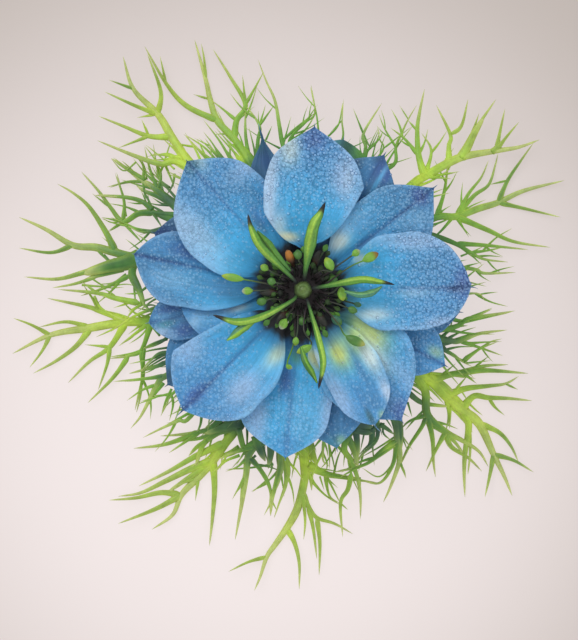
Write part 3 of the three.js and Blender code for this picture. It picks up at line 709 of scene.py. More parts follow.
@dataclass(frozen=True)
class Sepal:
    """One blue sepal: its place in the stack, its outline, its relief and its colours.

    In its own frame it runs along an axis from the claw to the tip, with t from 0 to 1, and
    across with v from 1 at the left margin to -1 at the right one. left and right are its
    half-widths at the widest place, base and tip the bluntness of its ends, and lift is how far
    the tip rises, all in mm but the bluntness. Inside the distance shade it is painted near
    black, as shade under the stamens.
    """

    name: str
    level: int
    azimuth: float
    reach: float
    left: float
    right: float
    widest: float
    base: float
    tip: float
    lift: float
    inner: Hue = Hue.SKY
    outer: Hue = Hue.MID
    rib: float = 0.5
    margin: float = 0.4
    dew: float = 0.5
    bead: float = 1.0
    curl: tuple[float, float] = (0.0, 0.0)
    mucro: float = 0.5
    hook: float = 0.0
    shade: float = 6.6
    stamen_shadow: float = 0.6
    left_neck: tuple[float, float] | None = None
    right_neck: tuple[float, float] | None = None
    washes: tuple[Wash, ...] = ()

    START = 3.5
    CLAW = 0.75
    ROWS = 64
    SPIKE_ROWS = 6
    COLUMNS = 43
    THICKNESS = 0.17
    HEIGHT = 10.4
    LEVEL_NEAR = 0.62
    LEVEL_FAR = 0.92
    SLOPE = 0.6

    @property
    def seed(self) -> int:
        """A number of the sepal's own, for its small irregularities."""
        return int(self.azimuth * 7 + self.reach * 31 + self.level * 101) % 9973

    def half_width(self, t: Array, left: Array) -> Array:
        """Half-width on one side of the rib.

        It is claw + (side - claw) * (1 - u^3)^p, where u is how far t is from the widest place,
        as a share of the way to that end, and p is the bluntness of the end. The mucro is a
        thin spike on the tip. A neck makes the base round on its side: no wider there than
        0.8 * claw + sqrt(roundness * (along - start)).
        """
        side = np.where(left, self.left, self.right)
        room = np.where(t < self.widest, self.widest, 1 - self.widest)
        u = np.clip(np.abs(t - self.widest) / room, 0, 1)
        share = (1 - u**3) ** np.where(t < self.widest, self.base, self.tip)
        claw = self.CLAW * (1 - np.clip(t, 0, 1))
        phase = self.seed % 6
        uneven = 1 + 0.02 * np.sin(9 * t + phase + left * 2) + 0.012 * np.sin(23 * t + 2 * phase)
        spike = 0.15 * np.clip((self.end - t) / (self.end - 0.96), 0, 1) * (t > 0.9) + 0.02
        half = np.maximum(claw + (side - claw) * share * uneven, spike)
        along = mix(self.START, self.reach, t)
        for neck, here in ((self.left_neck, left), (self.right_neck, ~left)):
            if neck is not None:
                room = claw * 0.8 + np.sqrt(neck[1] * np.maximum(along - neck[0], 0)) + 0.02
                half = np.where(here, np.minimum(half, room), half)
        return half

    @property
    def end(self) -> float:
        """t at the end of the mucro."""
        return 1 + self.mucro / (self.reach - self.START)

    def relief(self, t: Array, v: Array, lateral: Array) -> Array:
        """Height over the plain blade, which is nothing at its two ends.

        It is the curl of the margins, a crease 0.22 * (0.4 + rib) deep along the rib, ripples of
        0.13 * v^2 and 0.06 with waves of their own, and pleats 0.022 high along the blade.
        """
        body = np.sin(np.pi * np.clip(t, 0, 1)) ** 0.6
        curl = self.curl[0] * smooth(v, 0.35, 1) ** 1.5 + self.curl[1] * smooth(-v, 0.35, 1) ** 1.5
        crease = -0.22 * (0.4 + self.rib) * bell(lateral, 0.5)
        p = self.seed
        ripple = 0.13 * v**2 * np.sin(15 * t + p) + 0.06 * np.sin(5 * v + 7 * t + p) * np.sin(9 * t - 3 * v)
        pleats = 0.022 * np.sin(26 * v + 1.5 * np.sin(3 * t + p))
        return body * (curl + crease + ripple + pleats)

    def surface(self, t: Array, v: Array) -> Array:
        """Places on the middle of the blade, (..., 3).

        It is HEIGHT high at the claw, and rises by 0.62 to 0.92 for each level of the stack, by a
        slope further out and by lift * t^4, plus the relief.
        """
        along = mix(self.START, self.reach, t)
        beyond = np.clip((t - 1) / (self.end - 1), 0, 1)
        lateral = v * self.half_width(t, v > 0) + self.hook * beyond**2
        distance = np.hypot(along, lateral)
        step = mix(self.LEVEL_NEAR, self.LEVEL_FAR, smooth(distance, 4, 11))
        plain = self.HEIGHT + self.level * step + self.SLOPE * smooth(distance, 4, 12) + self.lift * t**4
        return np.stack([*self.laid(along, lateral), plain + self.relief(t, v, lateral)], -1)

    def laid(self, along: Array, lateral: Array) -> tuple[Array, Array]:
        """Places on the flower, in mm, from distances along and across the sepal."""
        angle = math.radians(self.azimuth)
        x = along * math.cos(angle) - lateral * math.sin(angle)
        return x, along * math.sin(angle) + lateral * math.cos(angle)

    def local(self, x: Array, y: Array) -> tuple[Array, Array]:
        """Distance along and across the sepal, in mm, of places on the flower."""
        angle = math.radians(self.azimuth)
        along = x * math.cos(angle) + y * math.sin(angle)
        return along, y * math.cos(angle) - x * math.sin(angle)

    def holds(self, x: Array, y: Array) -> tuple[Array, Array, Array]:
        """Whether places on the flower lie over the sepal, and their t and v."""
        along, lateral = self.local(x, y)
        t = (along - self.START) / (self.reach - self.START)
        v = lateral / self.half_width(np.clip(t, 0, 1), lateral > 0)
        return (t > 0) & (t < 1) & (np.abs(v) < 1), t, v

    def tints(self, t: Array, v: Array, points: Array) -> Array:
        """Colours of the upper side, (..., 3).

        From the inner to the outer colour along the blade, paler at the margins. Then the washes,
        painted shade in the crease along the rib, a slate tip and a pale mucro, a painted dark blue
        shadow round the stamens, and painted shade, near black, where the claw goes under them.
        """
        along, lateral = self.local(points[..., 0], points[..., 1])
        margin = self.margin * smooth(np.abs(v), 0.72, 1) * smooth(t, 0.1, 0.4)
        tints = washed(self.inner.rgb, (self.outer, smooth(t, 0.3, 0.85)), (Hue.LILAC, margin))
        for wash in self.washes:
            far, off = self.local(np.array(wash.x * STEP), np.array(wash.y * STEP))
            away = ((along - far) / (wash.length * STEP)) ** 2 + ((lateral - off) / (wash.width * STEP)) ** 2
            tints = washed(tints, (wash.hue, wash.strength * np.exp(-(away**1.3))))
        rib = self.rib * bell(lateral, 0.28) * smooth(t, 0.12, 0.35) * (0.6 + 0.4 * smooth(t, 0.4, 0.9))
        uneven = 0.22 * np.sin(7 * v + self.seed) + 0.12 * np.sin(17 * v + 2 * self.seed)
        distance = from_axis(points) + uneven
        return washed(
            # Painted shade in the rib's crease, then a painted dark blue shadow round the stamens and painted
            # near-black shade under them.
            tints, (Hue.NAVY, rib * 0.75), (Hue.SLATE, smooth(t, 0.985, 1.01) * 0.7),
            (Hue.MIST, smooth(t, 1.005, self.end) * 0.7),
            (Hue.STAMEN_SHADOW_BLUE, self.stamen_shadow * (1 - smooth(distance, self.shade - 0.2, self.shade + 2.6))),
            (Hue.SHADE, 1 - smooth(distance, self.shade - 0.9, self.shade + 0.35)),
        )

    def skin(self) -> Skin:
        """The blade: a shell about 0.17 mm thick that thins to its margins."""
        main = np.sin(np.linspace(0, np.pi / 2, self.ROWS)) * 0.6 + np.linspace(0, 1, self.ROWS) * 0.4
        rows = np.concatenate([main, np.linspace(1, self.end, self.SPIKE_ROWS + 1)[1:]])
        x = np.linspace(1, -1, self.COLUMNS)
        t, v = np.meshgrid(rows, 0.65 * x + 0.35 * np.sin(np.pi * x / 2), indexing="ij")
        middle = self.surface(t, v)
        rim = np.sqrt(np.clip(1 - np.abs(v) ** 5, 0, 1)) * (1 - smooth(t, 0.9, 1.02) * 0.7)
        half = self.THICKNESS / 2 * (0.2 + 0.8 * rim)
        lift = np.stack([np.zeros_like(half), np.zeros_like(half), half], -1)
        tints = self.tints(t, v, middle)
        damp = self.dew * mix(0.25, 1.0, smooth(t, 0.3, 0.7)) * smooth(t, 0.12, 0.3)
        under = washed(tints, (Hue.PALE, 0.5), (Hue.CELERY, 0.3 * bell(v, 0.2)))
        grain = np.stack([v * 6.5, mix(self.START, self.reach, t), np.full_like(v, self.seed % 17 + 2)], -1)
        return shell(middle + lift, middle - lift, with_dew(tints, damp), with_dew(under), grain)


@dataclass(frozen=True)
class Dew:
    """Beads of dew on the upper sides, on a shaken grid, left out where another sepal lies over."""

    spacing: float = 0.52
    shake: float = 0.42
    nearest: float = 5.5
    span: float = 9.0
    smallest: float = 0.1
    largest: float = 0.2
    sides: int = 7

    def beads(self, sepal: Sepal, others: Sequence[Sepal]) -> Skin:
        """The beads on one sepal.

        Args:
            sepal: The sepal.
            others: All the sepals.

        Returns:
            One skin of closed domes.
        """
        draw = np.random.default_rng(sepal.seed)
        spacing = self.spacing * sepal.bead**0.75
        span = np.arange(-self.span, self.span, spacing)
        grid = np.meshgrid(np.arange(self.nearest, sepal.reach, spacing), span, indexing="ij")
        x, y = sepal.laid(*(g.ravel() + draw.uniform(-self.shake, self.shake, g.size) * spacing for g in grid))
        inside, t, v = sepal.holds(x, y)
        keep = inside & (np.abs(v) < 0.95) & (np.hypot(x, y) > sepal.shade + 0.8)
        for other in others:
            if other.level > sepal.level:
                keep &= ~other.holds(x, y)[0]
        chance = sepal.dew * mix(0.12, 1.0, smooth(t, 0.25, 0.6))
        keep &= draw.uniform(0, 1, len(t)) < chance
        t, v = t[keep], v[keep]
        centres = sepal.surface(t, v) + np.array([0, 0, sepal.THICKNESS / 2 - 0.02])
        radius = self.smallest + (self.largest - self.smallest) * draw.uniform(0, 1, len(t)) ** 2
        radius *= sepal.bead
        return self.domes(centres, radius, sepal.tints(t, v, centres), draw)

    def domes(self, centres: Array, radius: Array, tints: Array, draw: np.random.Generator) -> Skin:
        """A low closed dome at each centre: a rim, a shoulder at 0.7 of the radius, and a top, with painted shade
        at the rim and a painted highlight on top.
        """
        count, sides = len(centres), self.sides
        angle = ring_angles(sides) + draw.uniform(0, 6, (count, 1))
        circle = np.stack([np.cos(angle), np.sin(angle), np.zeros_like(angle)], -1)
        up = np.array([0.0, 0.0, 1.0])
        parts = [circle, circle * 0.7 + up * 0.42, np.broadcast_to(up * 0.6, (count, 1, 3)),
                 np.zeros((count, 1, 3))]
        local = np.concatenate(parts, 1)
        points = centres[:, None] + local * radius[:, None, None]
        shares = np.concatenate([np.zeros(sides), np.full(sides, 0.75), [1.0, 0.0]])[:, None]
        # Painted shade for the rim and a painted highlight for the top.
        dark, pale = washed(tints, (Hue.NAVY, 0.22)), washed(tints, (Hue.MIST, 0.36))
        colours = mix(dark[:, None], pale[:, None], shares)
        j, k = np.arange(sides), (np.arange(sides) + 1) % sides
        quads = np.stack([j, k, k + sides, j + sides], 1)
        caps = np.vstack([np.stack([j + sides, k + sides, np.full(sides, 2 * sides)], 1),
                          np.stack([k, j, np.full(sides, 2 * sides + 1)], 1)])
        size = 2 * sides + 2
        offsets = (np.arange(count) * size)[:, None, None]
        grain = np.zeros((count * size, 3))
        return Skin(points.reshape(-1, 3), (quads + offsets).reshape(-1, 4),
                    (caps + offsets).reshape(-1, 3), with_dew(colours.reshape(-1, 3)), grain)


SEPALS = (
    Sepal("north", 5, 86, 22.1, 6.3, 7.2, 0.5, 2.1, 1.25, 1.1, dew=1.0, margin=0.6, rib=0.15, shade=5.8,
          stamen_shadow=0.3, left_neck=(5.8, 7.3), right_neck=(6.2, 6.0), bead=1.6, curl=(0.5, 0.3), mucro=0.4, washes=(
        Wash(-3, 85, 30, 20, Hue.SKY, 0.9), Wash(-33, 105, 44, 9, Hue.MIST, 0.85),
        Wash(-13, 142, 20, 11, Hue.WHITE, 0.85), Wash(-25, 68, 18, 10, Hue.PALE, 0.95),
        Wash(-24, 62, 12, 7, Hue.WHITE, 0.5), Wash(39, 112, 26, 12, Hue.LILAC, 0.8),
        Wash(46, 110, 18, 7, Hue.MIST, 0.6), Wash(27, 75, 20, 12, Hue.SKY, 0.6),
        Wash(-33, 70, 22, 5, Hue.MIST, 0.7), Wash(25, 60, 10, 6, Hue.PALE, 0.6),
        Wash(-15, 53, 5, 11, Hue.CREAM, 1.0), Wash(-14, 53, 4, 8, Hue.IVORY, 0.4),
        Wash(12, 152, 13, 13, Hue.VIOLET, 0.7),
    )),
    Sepal("east", 5, 1, 22.6, 7.5, 5.8, 0.5, 2.0, 0.7, 0.9, dew=1.0, margin=0.6, rib=0.6, shade=6.0, stamen_shadow=0.35,
          bead=1.5, curl=(0.4, 0.3), mucro=1.0, hook=-0.3, washes=(
        Wash(69, 22, 16, 14, Hue.SKY, 0.9), Wash(57, 31, 8, 6, Hue.WHITE, 0.8),
        Wash(46, -4, 8, 22, Hue.JADE, 0.45), Wash(74, -24, 20, 10, Hue.PALE, 0.85),
        Wash(69, -25, 18, 6, Hue.WHITE, 0.7), Wash(112, 47, 32, 9, Hue.LILAC, 0.75),
        Wash(125, 22, 25, 12, Hue.DEEP, 0.4), Wash(161, 7, 10, 18, Hue.VIOLET, 0.85),
        Wash(110, -3, 18, 6, Hue.MIST, 0.5), Wash(120, -20, 24, 11, Hue.MID, 0.5),
        Wash(137, -32, 16, 6, Hue.LILAC, 0.7), Wash(152, 1, 14, 4, Hue.NAVY, 0.7),
    )),
    Sepal("south_west", 5, -135, 22.9, 6.8, 7.2, 0.56, 2.0, 0.95, 1.0, dew=0.55, margin=0.45, rib=0.95,
          curl=(0.25, 0.35), mucro=1.3, shade=7.3, stamen_shadow=0.35, bead=0.9, right_neck=(5.16, 3.2), washes=(
        Wash(-52, -125, 12, 9, Hue.PALE, 0.8), Wash(-53, -67, 24, 13, Hue.SKY, 0.9),
        Wash(-113, -60, 18, 15, Hue.LILAC, 0.65), Wash(-88, -60, 20, 10, Hue.MID, 0.4),
        Wash(-60, -98, 24, 15, Hue.LILAC, 0.85), Wash(-95, -110, 18, 9, Hue.MID, 0.6),
        Wash(-108, -105, 16, 7, Hue.VIOLET, 0.7), Wash(-27, -66, 18, 9, Hue.WHITE, 0.6),
        Wash(-24, -62, 12, 7, Hue.PITH, 0.5),
    )),
    Sepal("south_east", 5, -62, 20.6, 4.7, 3.2, 0.6, 1.4, 0.9, 0.8, dew=0.4, margin=0.3, rib=0.2,
          curl=(0.9, 0.15), mucro=1.2, hook=0.3, shade=6.7, stamen_shadow=0.35, bead=0.9, washes=(
        Wash(36, -106, 30, 10, Hue.LILAC, 0.8), Wash(64, -108, 18, 5, Hue.DEEP, 0.55),
        Wash(36, -62, 20, 14, Hue.CELERY, 0.85), Wash(12, -66, 10, 6, Hue.WHITE, 0.9),
        Wash(54, -47, 17, 14, Hue.PEAR, 0.95), Wash(66, -66, 20, 9, Hue.WHITE, 0.95),
        # The long thin deep blue wash at 60, -84 is a painted shadow along a fold.
        Wash(35, -64, 10, 6, Hue.YELLOW, 0.75), Wash(60, -84, 34, 3.5, Hue.DEEP, 0.75),
        Wash(84, -102, 16, 6, Hue.MIST, 0.95), Wash(67, -127, 9, 3, Hue.SPRUCE, 0.6),
        Wash(80, -126, 6, 4, Hue.CELERY, 0.8),
    )),
    Sepal("north_west", 4, 132, 23.4, 7.8, 6.1, 0.5, 1.3, 1.1, 0.6, dew=0.8, margin=0.55, curl=(0.3, -0.1),
          mucro=0.3, shade=6.9, stamen_shadow=0.2, washes=(
        # The first wash is painted shade near the base, beside the north sepal.
        Wash(-46, 66, 14, 5, Hue.STORM, 0.7), Wash(-104, 129, 12, 7, Hue.WHITE, 0.7),
        Wash(-45, 74, 16, 5, Hue.INDIGO, 0.45), Wash(-63, 42, 30, 20, Hue.SKY, 0.95),
        Wash(-108, 58, 45, 17, Hue.MIST, 0.65), Wash(-91, 112, 26, 30, Hue.DEEP, 0.3),
        Wash(-51, 95, 32, 12, Hue.DEEP, 0.5), Wash(-58, 122, 10, 24, Hue.LILAC, 0.6),
        Wash(-113, 125, 10, 9, Hue.TEAL, 0.7),
    )),
    Sepal("north_east", 4, 38, 22.5, 4.9, 6.5, 0.47, 2.2, 1.4, 0.5, dew=0.7, margin=0.3, rib=0.85,
          outer=Hue.DEEP, shade=5.9, stamen_shadow=0.3, curl=(0.1, 0.2), washes=(
        Wash(52, 72, 18, 12, Hue.PALE, 0.6), Wash(112, 68, 18, 12, Hue.PALE, 0.5),
        Wash(62, 48, 16, 6, Hue.DEEP, 0.8), Wash(61, 66, 20, 8, Hue.DEEP, 0.5),
        Wash(117, 94, 8, 10, Hue.VIOLET, 0.85), Wash(35, 48, 13, 9, Hue.WHITE, 1.0),
        Wash(62, 98, 16, 7, Hue.PALE, 0.6), Wash(35, 58, 15, 11, Hue.PALE, 1.0),
        Wash(36, 50, 8, 7, Hue.WHITE, 0.8),
    )),
    Sepal("east_south_east", 4, -53, 22.2, 7.4, 6.0, 0.46, 1.5, 1.4, 0.4, dew=0.65, rib=0.2, curl=(0.1, 0.0),
          mucro=0.4, shade=6.2, stamen_shadow=0.2, washes=(
        Wash(92, -75, 30, 14, Hue.SKY, 0.5), Wash(102, -86, 30, 9, Hue.LILAC, 0.55),
        Wash(66, -42, 26, 18, Hue.CELERY, 0.95), Wash(68, -47, 12, 9, Hue.YELLOW, 0.5),
        Wash(56, -38, 16, 8, Hue.PEAR, 0.8), Wash(72, -66, 24, 9, Hue.WHITE, 0.85),
        Wash(42, -30, 10, 8, Hue.JADE, 0.6), Wash(88, -112, 16, 8, Hue.PALE, 0.7),
        Wash(99, -122, 14, 12, Hue.VIOLET, 0.7), Wash(11, -68, 16, 7, Hue.PITH, 1.0),
    )),
    Sepal("south", 3, -96, 22.8, 5.4, 6.7, 0.62, 1.6, 1.2, 0.1, margin=0.6, rib=0.35, curl=(0.1, 0.1), mucro=0.4,
          outer=Hue.SKY, shade=7.3, bead=0.9, washes=(
        Wash(10, -68, 14, 5, Hue.PITH, 0.95), Wash(-7, -65, 10, 6, Hue.FERN, 0.5),
        Wash(-42, -118, 12, 8, Hue.PALE, 0.6), Wash(-51, -126, 14, 7, Hue.LILAC, 0.6),
        Wash(0, -130, 30, 22, Hue.PALE, 0.4), Wash(-17, -90, 16, 7, Hue.INDIGO, 0.75),
        Wash(-44, -135, 22, 9, Hue.LILAC, 0.7), Wash(24, -122, 26, 9, Hue.LILAC, 0.6),
        Wash(-18, -155, 12, 14, Hue.MID, 0.7), Wash(-14, -120, 30, 3, Hue.DEEP, 0.4),
    )),
    Sepal("west", 3, 168, 23.3, 5.7, 4.4, 0.62, 1.6, 1.0, 0.0, dew=0.45, margin=0.45, rib=1.0, outer=Hue.DEEP,
          curl=(0.1, 0.0), mucro=0.3, bead=0.9, stamen_shadow=0.5, washes=(
        Wash(-138, 43, 22, 9, Hue.MID, 0.4), Wash(-108, 38, 24, 10, Hue.INDIGO, 0.75),
        Wash(-133, 10, 24, 11, Hue.PALE, 0.65), Wash(-78, 2, 24, 12, Hue.DEEP, 0.85),
    )),
    Sepal("north_north_east", 3, 59, 21.4, 4.9, 4.7, 0.6, 1.5, 1.6, 0.1, dew=0.15, margin=0.15, rib=0.3,
          mucro=0.4, inner=Hue.DEEP, outer=Hue.STORM, washes=(
        Wash(84, 110, 18, 7, Hue.DEEP, 0.9), Wash(60, 122, 14, 5, Hue.DEEP, 0.6),
        Wash(77, 130, 7, 7, Hue.SLATE, 0.6), Wash(60, 108, 22, 9, Hue.MID, 0.7),
        Wash(78, 122, 14, 8, Hue.INDIGO, 0.7), Wash(84, 113, 9, 4, Hue.VIOLET, 0.6),
        Wash(77, 112, 18, 2.5, Hue.PALE, 0.7), Wash(72, 104, 16, 2, Hue.SKY, 0.6),
    )),
    Sepal("west_short", 2, -171, 16.6, 5.0, 3.8, 0.58, 1.3, 0.8, -0.2, dew=0.3, rib=0.15, mucro=0.2, shade=6.0,
          stamen_shadow=0.3, washes=(
        Wash(-68, -18, 14, 5, Hue.WHITE, 0.9), Wash(-107, -32, 6, 6, Hue.MIST, 0.9),
        Wash(-93, -29, 24, 13, Hue.PALE, 0.85), Wash(-88, -32, 16, 9, Hue.SKY, 0.4),
    )),
    Sepal("north_by_east", 2, 75, 21.0, 4.4, 6.0, 0.6, 1.5, 0.75, -0.4, dew=0.0, margin=0.1, rib=0.3,
          inner=Hue.DEEP, outer=Hue.DEEP, washes=(
        Wash(52, 142, 22, 22, Hue.JADE, 0.95), Wash(45, 143, 14, 7, Hue.SPRUCE, 0.75),
        Wash(61, 138, 12, 10, Hue.FERN, 0.85),
    )),
    Sepal("north_by_west", 1, 105, 22.3, 3.2, 1.5, 0.6, 0.8, 3.4, -0.9, dew=0.0, margin=0.1, rib=0.4, mucro=1.0,
          inner=Hue.STORM, outer=Hue.STORM, washes=(
        Wash(-42, 148, 18, 6, Hue.TEAL, 0.85), Wash(-38, 130, 10, 6, Hue.INDIGO, 0.5),
    )),
    Sepal("west_north_west", 1, 159, 21.5, 3.4, 5.3, 0.62, 1.5, 1.0, -1.0, dew=0.2, margin=0.1, rib=0.3,
          inner=Hue.STORM, outer=Hue.STORM, washes=(
        Wash(-143, 57, 22, 12, Hue.NAVY, 0.8),
    )),
    Sepal("south_south_east", 2, -78, 21.9, 5.4, 4.4, 0.6, 1.5, 1.3, -0.5, dew=0.3, margin=0.15, rib=0.2,
          inner=Hue.DEEP, outer=Hue.DEEP, stamen_shadow=0.3, washes=(
        Wash(34, -154, 10, 12, Hue.SEA, 0.6), Wash(38, -150, 5, 5, Hue.CELERY, 0.5),
    )),
    Sepal("east_by_south", 2, -28, 21.8, 4.3, 4.0, 0.62, 1.5, 1.2, -0.5, margin=0.3, rib=0.6, stamen_shadow=0.3, washes=(
        Wash(112, -50, 14, 12, Hue.DEEP, 0.6), Wash(133, -62, 9, 6, Hue.CELERY, 0.6),
    )),
    Sepal("east_low", 1, -8, 21.4, 4.0, 4.2, 0.66, 1.5, 1.1, -1.0, dew=0.4, margin=0.2, rib=0.3, inner=Hue.DEEP,
          outer=Hue.DEEP, washes=(
        Wash(146, -28, 12, 8, Hue.INDIGO, 0.3),
    )),
    Sepal("west_low", 1, -168, 21.3, 3.3, 3.2, 0.7, 1.5, 0.9, -1.1, dew=0.4, margin=0.2, rib=0.4, inner=Hue.DEEP,
          outer=Hue.DEEP, stamen_shadow=0.3, washes=(
        Wash(-140, -26, 10, 8, Hue.PALE, 0.5), Wash(-143, -42, 10, 6, Hue.MIST, 0.7),
        Wash(-131, -45, 14, 6, Hue.LILAC, 0.4), Wash(-118, -40, 10, 7, Hue.INDIGO, 0.75),
        Wash(-132, -18, 16, 5, Hue.INDIGO, 0.7), Wash(-137, -34, 9, 4, Hue.SEA, 0.6),
    )),
    Sepal("south_west_low", 0, -145, 22.4, 4.2, 5.6, 0.62, 1.5, 1.2, -1.6, dew=0.2, margin=0.15, rib=0.2,
          inner=Hue.DEEP, outer=Hue.DEEP, washes=(
        Wash(-134, -88, 22, 10, Hue.SLATE, 0.8),
    )),
)


# ------------------------------------------------------------------------------ bracts
@dataclass(frozen=True)
class Bract:
    """One feathery leaf: its tier, and its threads as x, y places in mm from the axis.

    Tier 0 rests on the ground and tier 1 lies over it. The first thread is the rachis. Each
    later one starts at a place that is already on the leaf.
    """

    name: str
    tier: int
    threads: tuple[tuple[float, ...], ...]
    stoutness: float = 1.0

    START = 1.5
    SIDES = 8
    NEAREST = 11.0
    FURTHEST = 25.5
    SPACING = 0.36
    FLATNESS = 0.55
    WIDEST = 0.55
    ARCH = 7.2
    GROUND_AT = 31.0
    LOBE_TURN = (18, 38)
    LOBE_BEND = (0, 14)
    LOBE_LENGTH = (3.0, 7.0)
    LOBE_GAP = (0.8, 2.2)

    def underside(self, distance: Array) -> Array:
        """Height of a thread's underside.

        An arch from the stem meets the ground GROUND_AT mm out. Beyond, the tip rises by 0.012
        times the square of the rest. The upper tier lies 1.2 to 1.9 mm over the lower one.
        """
        arch = self.ARCH * (1 - smooth(distance, 8, self.GROUND_AT))
        tip = 0.012 * np.maximum(0, distance - self.GROUND_AT) ** 2
        return arch + tip + self.tier * mix(1.2, 1.9, smooth(distance, 2, 10))

    def paths(self) -> list[Array]:
        """The threads in space. A place that an earlier thread has passed keeps its height."""
        heights: dict[tuple[float, float], float] = {}
        paths = []
        for number, flat in enumerate(self.threads):
            places = np.array(flat).reshape(-1, 2)
            if number == 0:
                places = np.vstack([places[0] * self.START / np.hypot(*places[0]), places])
            share = np.linspace(0, 1, len(places))
            run = lengths_along(places)
            half = 0.5 * np.minimum(1.0, 0.2 + 0.17 * np.sqrt(run[-1] * (1 - share)))
            climb = 0.8 * math.sin(2.4 * number) ** 2 * share
            z = self.underside(from_axis(places)) + climb + half * self.FLATNESS
            keys = [tuple(place) for place in places.round(3)]
            z = np.array([heights.setdefault(key, height) for key, height in zip(keys, z)])
            paths.append(np.column_stack([places, z]))
        return paths

    def tints(self, path: Array, fine: bool, share: Array) -> Array:
        """Colours along a thread: painted shade, darker near the flower, on the lower tier and on
        the fine threads, painted shade and light at listed places, and straw at the tips.
        """
        distance = from_axis(path)
        # Painted shade: darker on the lower tier and on the fine threads, and darkest near the flower.
        near = Hue.PINE if self.tier == 0 or fine else Hue.FERN
        tints = washed(near.rgb, (Hue.FERN, smooth(distance, 17, 22)),
                       (Hue.GRASS, 0.7 * smooth(distance, 20, 26)), (Hue.OLIVE, 0.8 * smooth(distance, 23, 32)))
        # Painted shade, painted blue-black shadow and painted light at listed places.
        for patches, hue in ((BRACT_SHADE, Hue.PINE), (BRACT_SHADOWS, Hue.SPRUCE), (BRACT_LIGHT, Hue.LIME)):
            for x, y, size, strength in patches:
                away = np.hypot(path[:, 0] - x * STEP, path[:, 1] - y * STEP)
                tints = washed(tints, (hue, strength * bell(away, size * STEP)))
        return washed(tints, (Hue.STRAW, 0.8 * smooth(share, 0.5, 1.0) * smooth(distance, 18, 25)))

    def half_width(self, left: Array, slim: bool) -> Array:
        """Half-width where so much of a thread is left.

        It is 0.055 + 0.068 * left^0.8, but no more than WIDEST, and less on a slim thread.
        """
        half = np.minimum(self.WIDEST, 0.055 + 0.068 * left**0.8)
        return self.stoutness * half * (0.85 if slim else 1.0)

    def thread(
        self, places: Array, number: int, from_half: float, fine: bool = False, width: float = 0.0
    ) -> Skin:
        """One thread: a tapering, channelled tube that starts inside the one it branches from.

        Args:
            places: The thread's places.
            number: The thread's number, for its grain.
            from_half: Half-width of the parent where the thread starts.
            fine: Whether it is one of the fine side threads.
            width: Its width at the start, where that is laid down.

        Returns:
            The closed tube.
        """
        path = spline(places, self.SPACING)
        run = lengths_along(path)
        left = run[-1] - run
        if width:
            half = width / 2 * mix(0.3, 1.0, (left / left[0]) ** 0.7)
        else:
            half = self.half_width(left, number > 0) * (0.75 if fine else 1.0)
            start = min(0.75 * from_half, half[0] * 0.9)
            half = mix(start, half + 0.14 * from_half * bell(run - 0.9, 0.7), smooth(run, 0.0, 0.8))
        half *= np.clip(left / 0.9, 0.04, 1) ** 0.5
        high = half * self.FLATNESS
        path[:, 2] = np.maximum(path[:, 2], high + 0.004)
        rings, grain = ringed(path, half, high, self.SIDES, groove=0.25)
        # Painted rim light: the sides of the threads far from the flower are paler.
        far = smooth(from_axis(path), 18, 27)[:, None]
        edge = np.abs(np.cos(ring_angles(self.SIDES, 0.5)))[None] ** 3 * far
        tints = washed(self.tints(path, fine, run / run[-1])[:, None], (Hue.RIM_LIGHT, 0.7 * edge))
        return closed_tube(rings, tints, grain + np.array([0, 0, 7.0 * number]))

    def lobes(self, paths: Sequence[Array]) -> list[tuple[Array, float]]:
        """Fine side threads, which branch off to the two sides in turn, and their parents' half-widths."""
        draw = np.random.default_rng(len(self.threads) * 37 + len(self.name))
        lobes = []
        for number, places in enumerate(paths):
            path = spline(places, 0.3)
            run = lengths_along(path)
            side, at = 1.0, draw.uniform(0.6, 1.6)
            while at < run[-1] - 1.2:
                i = int(np.searchsorted(run, at))
                start = path[i]
                away = math.hypot(start[0], start[1])
                if self.NEAREST < away < self.FURTHEST:
                    heading = math.atan2(*(path[i] - path[i - 1])[1::-1])
                    turn = heading + side * math.radians(draw.uniform(*self.LOBE_TURN))
                    bend = turn - side * math.radians(draw.uniform(*self.LOBE_BEND))
                    length = draw.uniform(*self.LOBE_LENGTH) * (1.2 if away < 20 else 0.75)
                    half_way = start[:2] + 0.5 * length * np.array([math.cos(turn), math.sin(turn)])
                    end = half_way + 0.5 * length * np.array([math.cos(bend), math.sin(bend)])
                    flat = np.array([start[:2], half_way, end])
                    z = self.underside(from_axis(flat)) + 0.2
                    z += (start[2] - z[0]) * np.array([1, 0.7, 0.4])
                    half = float(self.half_width(run[-1] - run[i], number > 0))
                    if not any(np.hypot(*(flat / STEP - (x, y)).T).min() < size for x, y, size in CLEARINGS):
                        lobes.append((np.column_stack([flat, np.maximum(z, 0.15)]), half))
                side = -side
                at += draw.uniform(*self.LOBE_GAP) * (0.8 if away < 20 else 1.3)
        return lobes

    def strands(self, paths: Sequence[Array]) -> list[tuple[Array, float]]:
        """Threads that cross the leaf, at the height of the threads they meet, and their widths."""
        leaf = np.vstack([spline(places, 0.3) for places in paths])
        strands = []
        for width, *flat in STRANDS.get(self.name, ()):
            places = np.array(flat).reshape(-1, 2)
            away = np.hypot(*(places[:, None] - leaf[None, :, :2]).transpose(2, 0, 1))
            z = self.underside(from_axis(places)) + 0.25
            z = mix(leaf[away.argmin(axis=1), 2], z, smooth(away.min(axis=1), 0.3, 1.4))
            strands.append((np.column_stack([places, z]), width))
        return strands

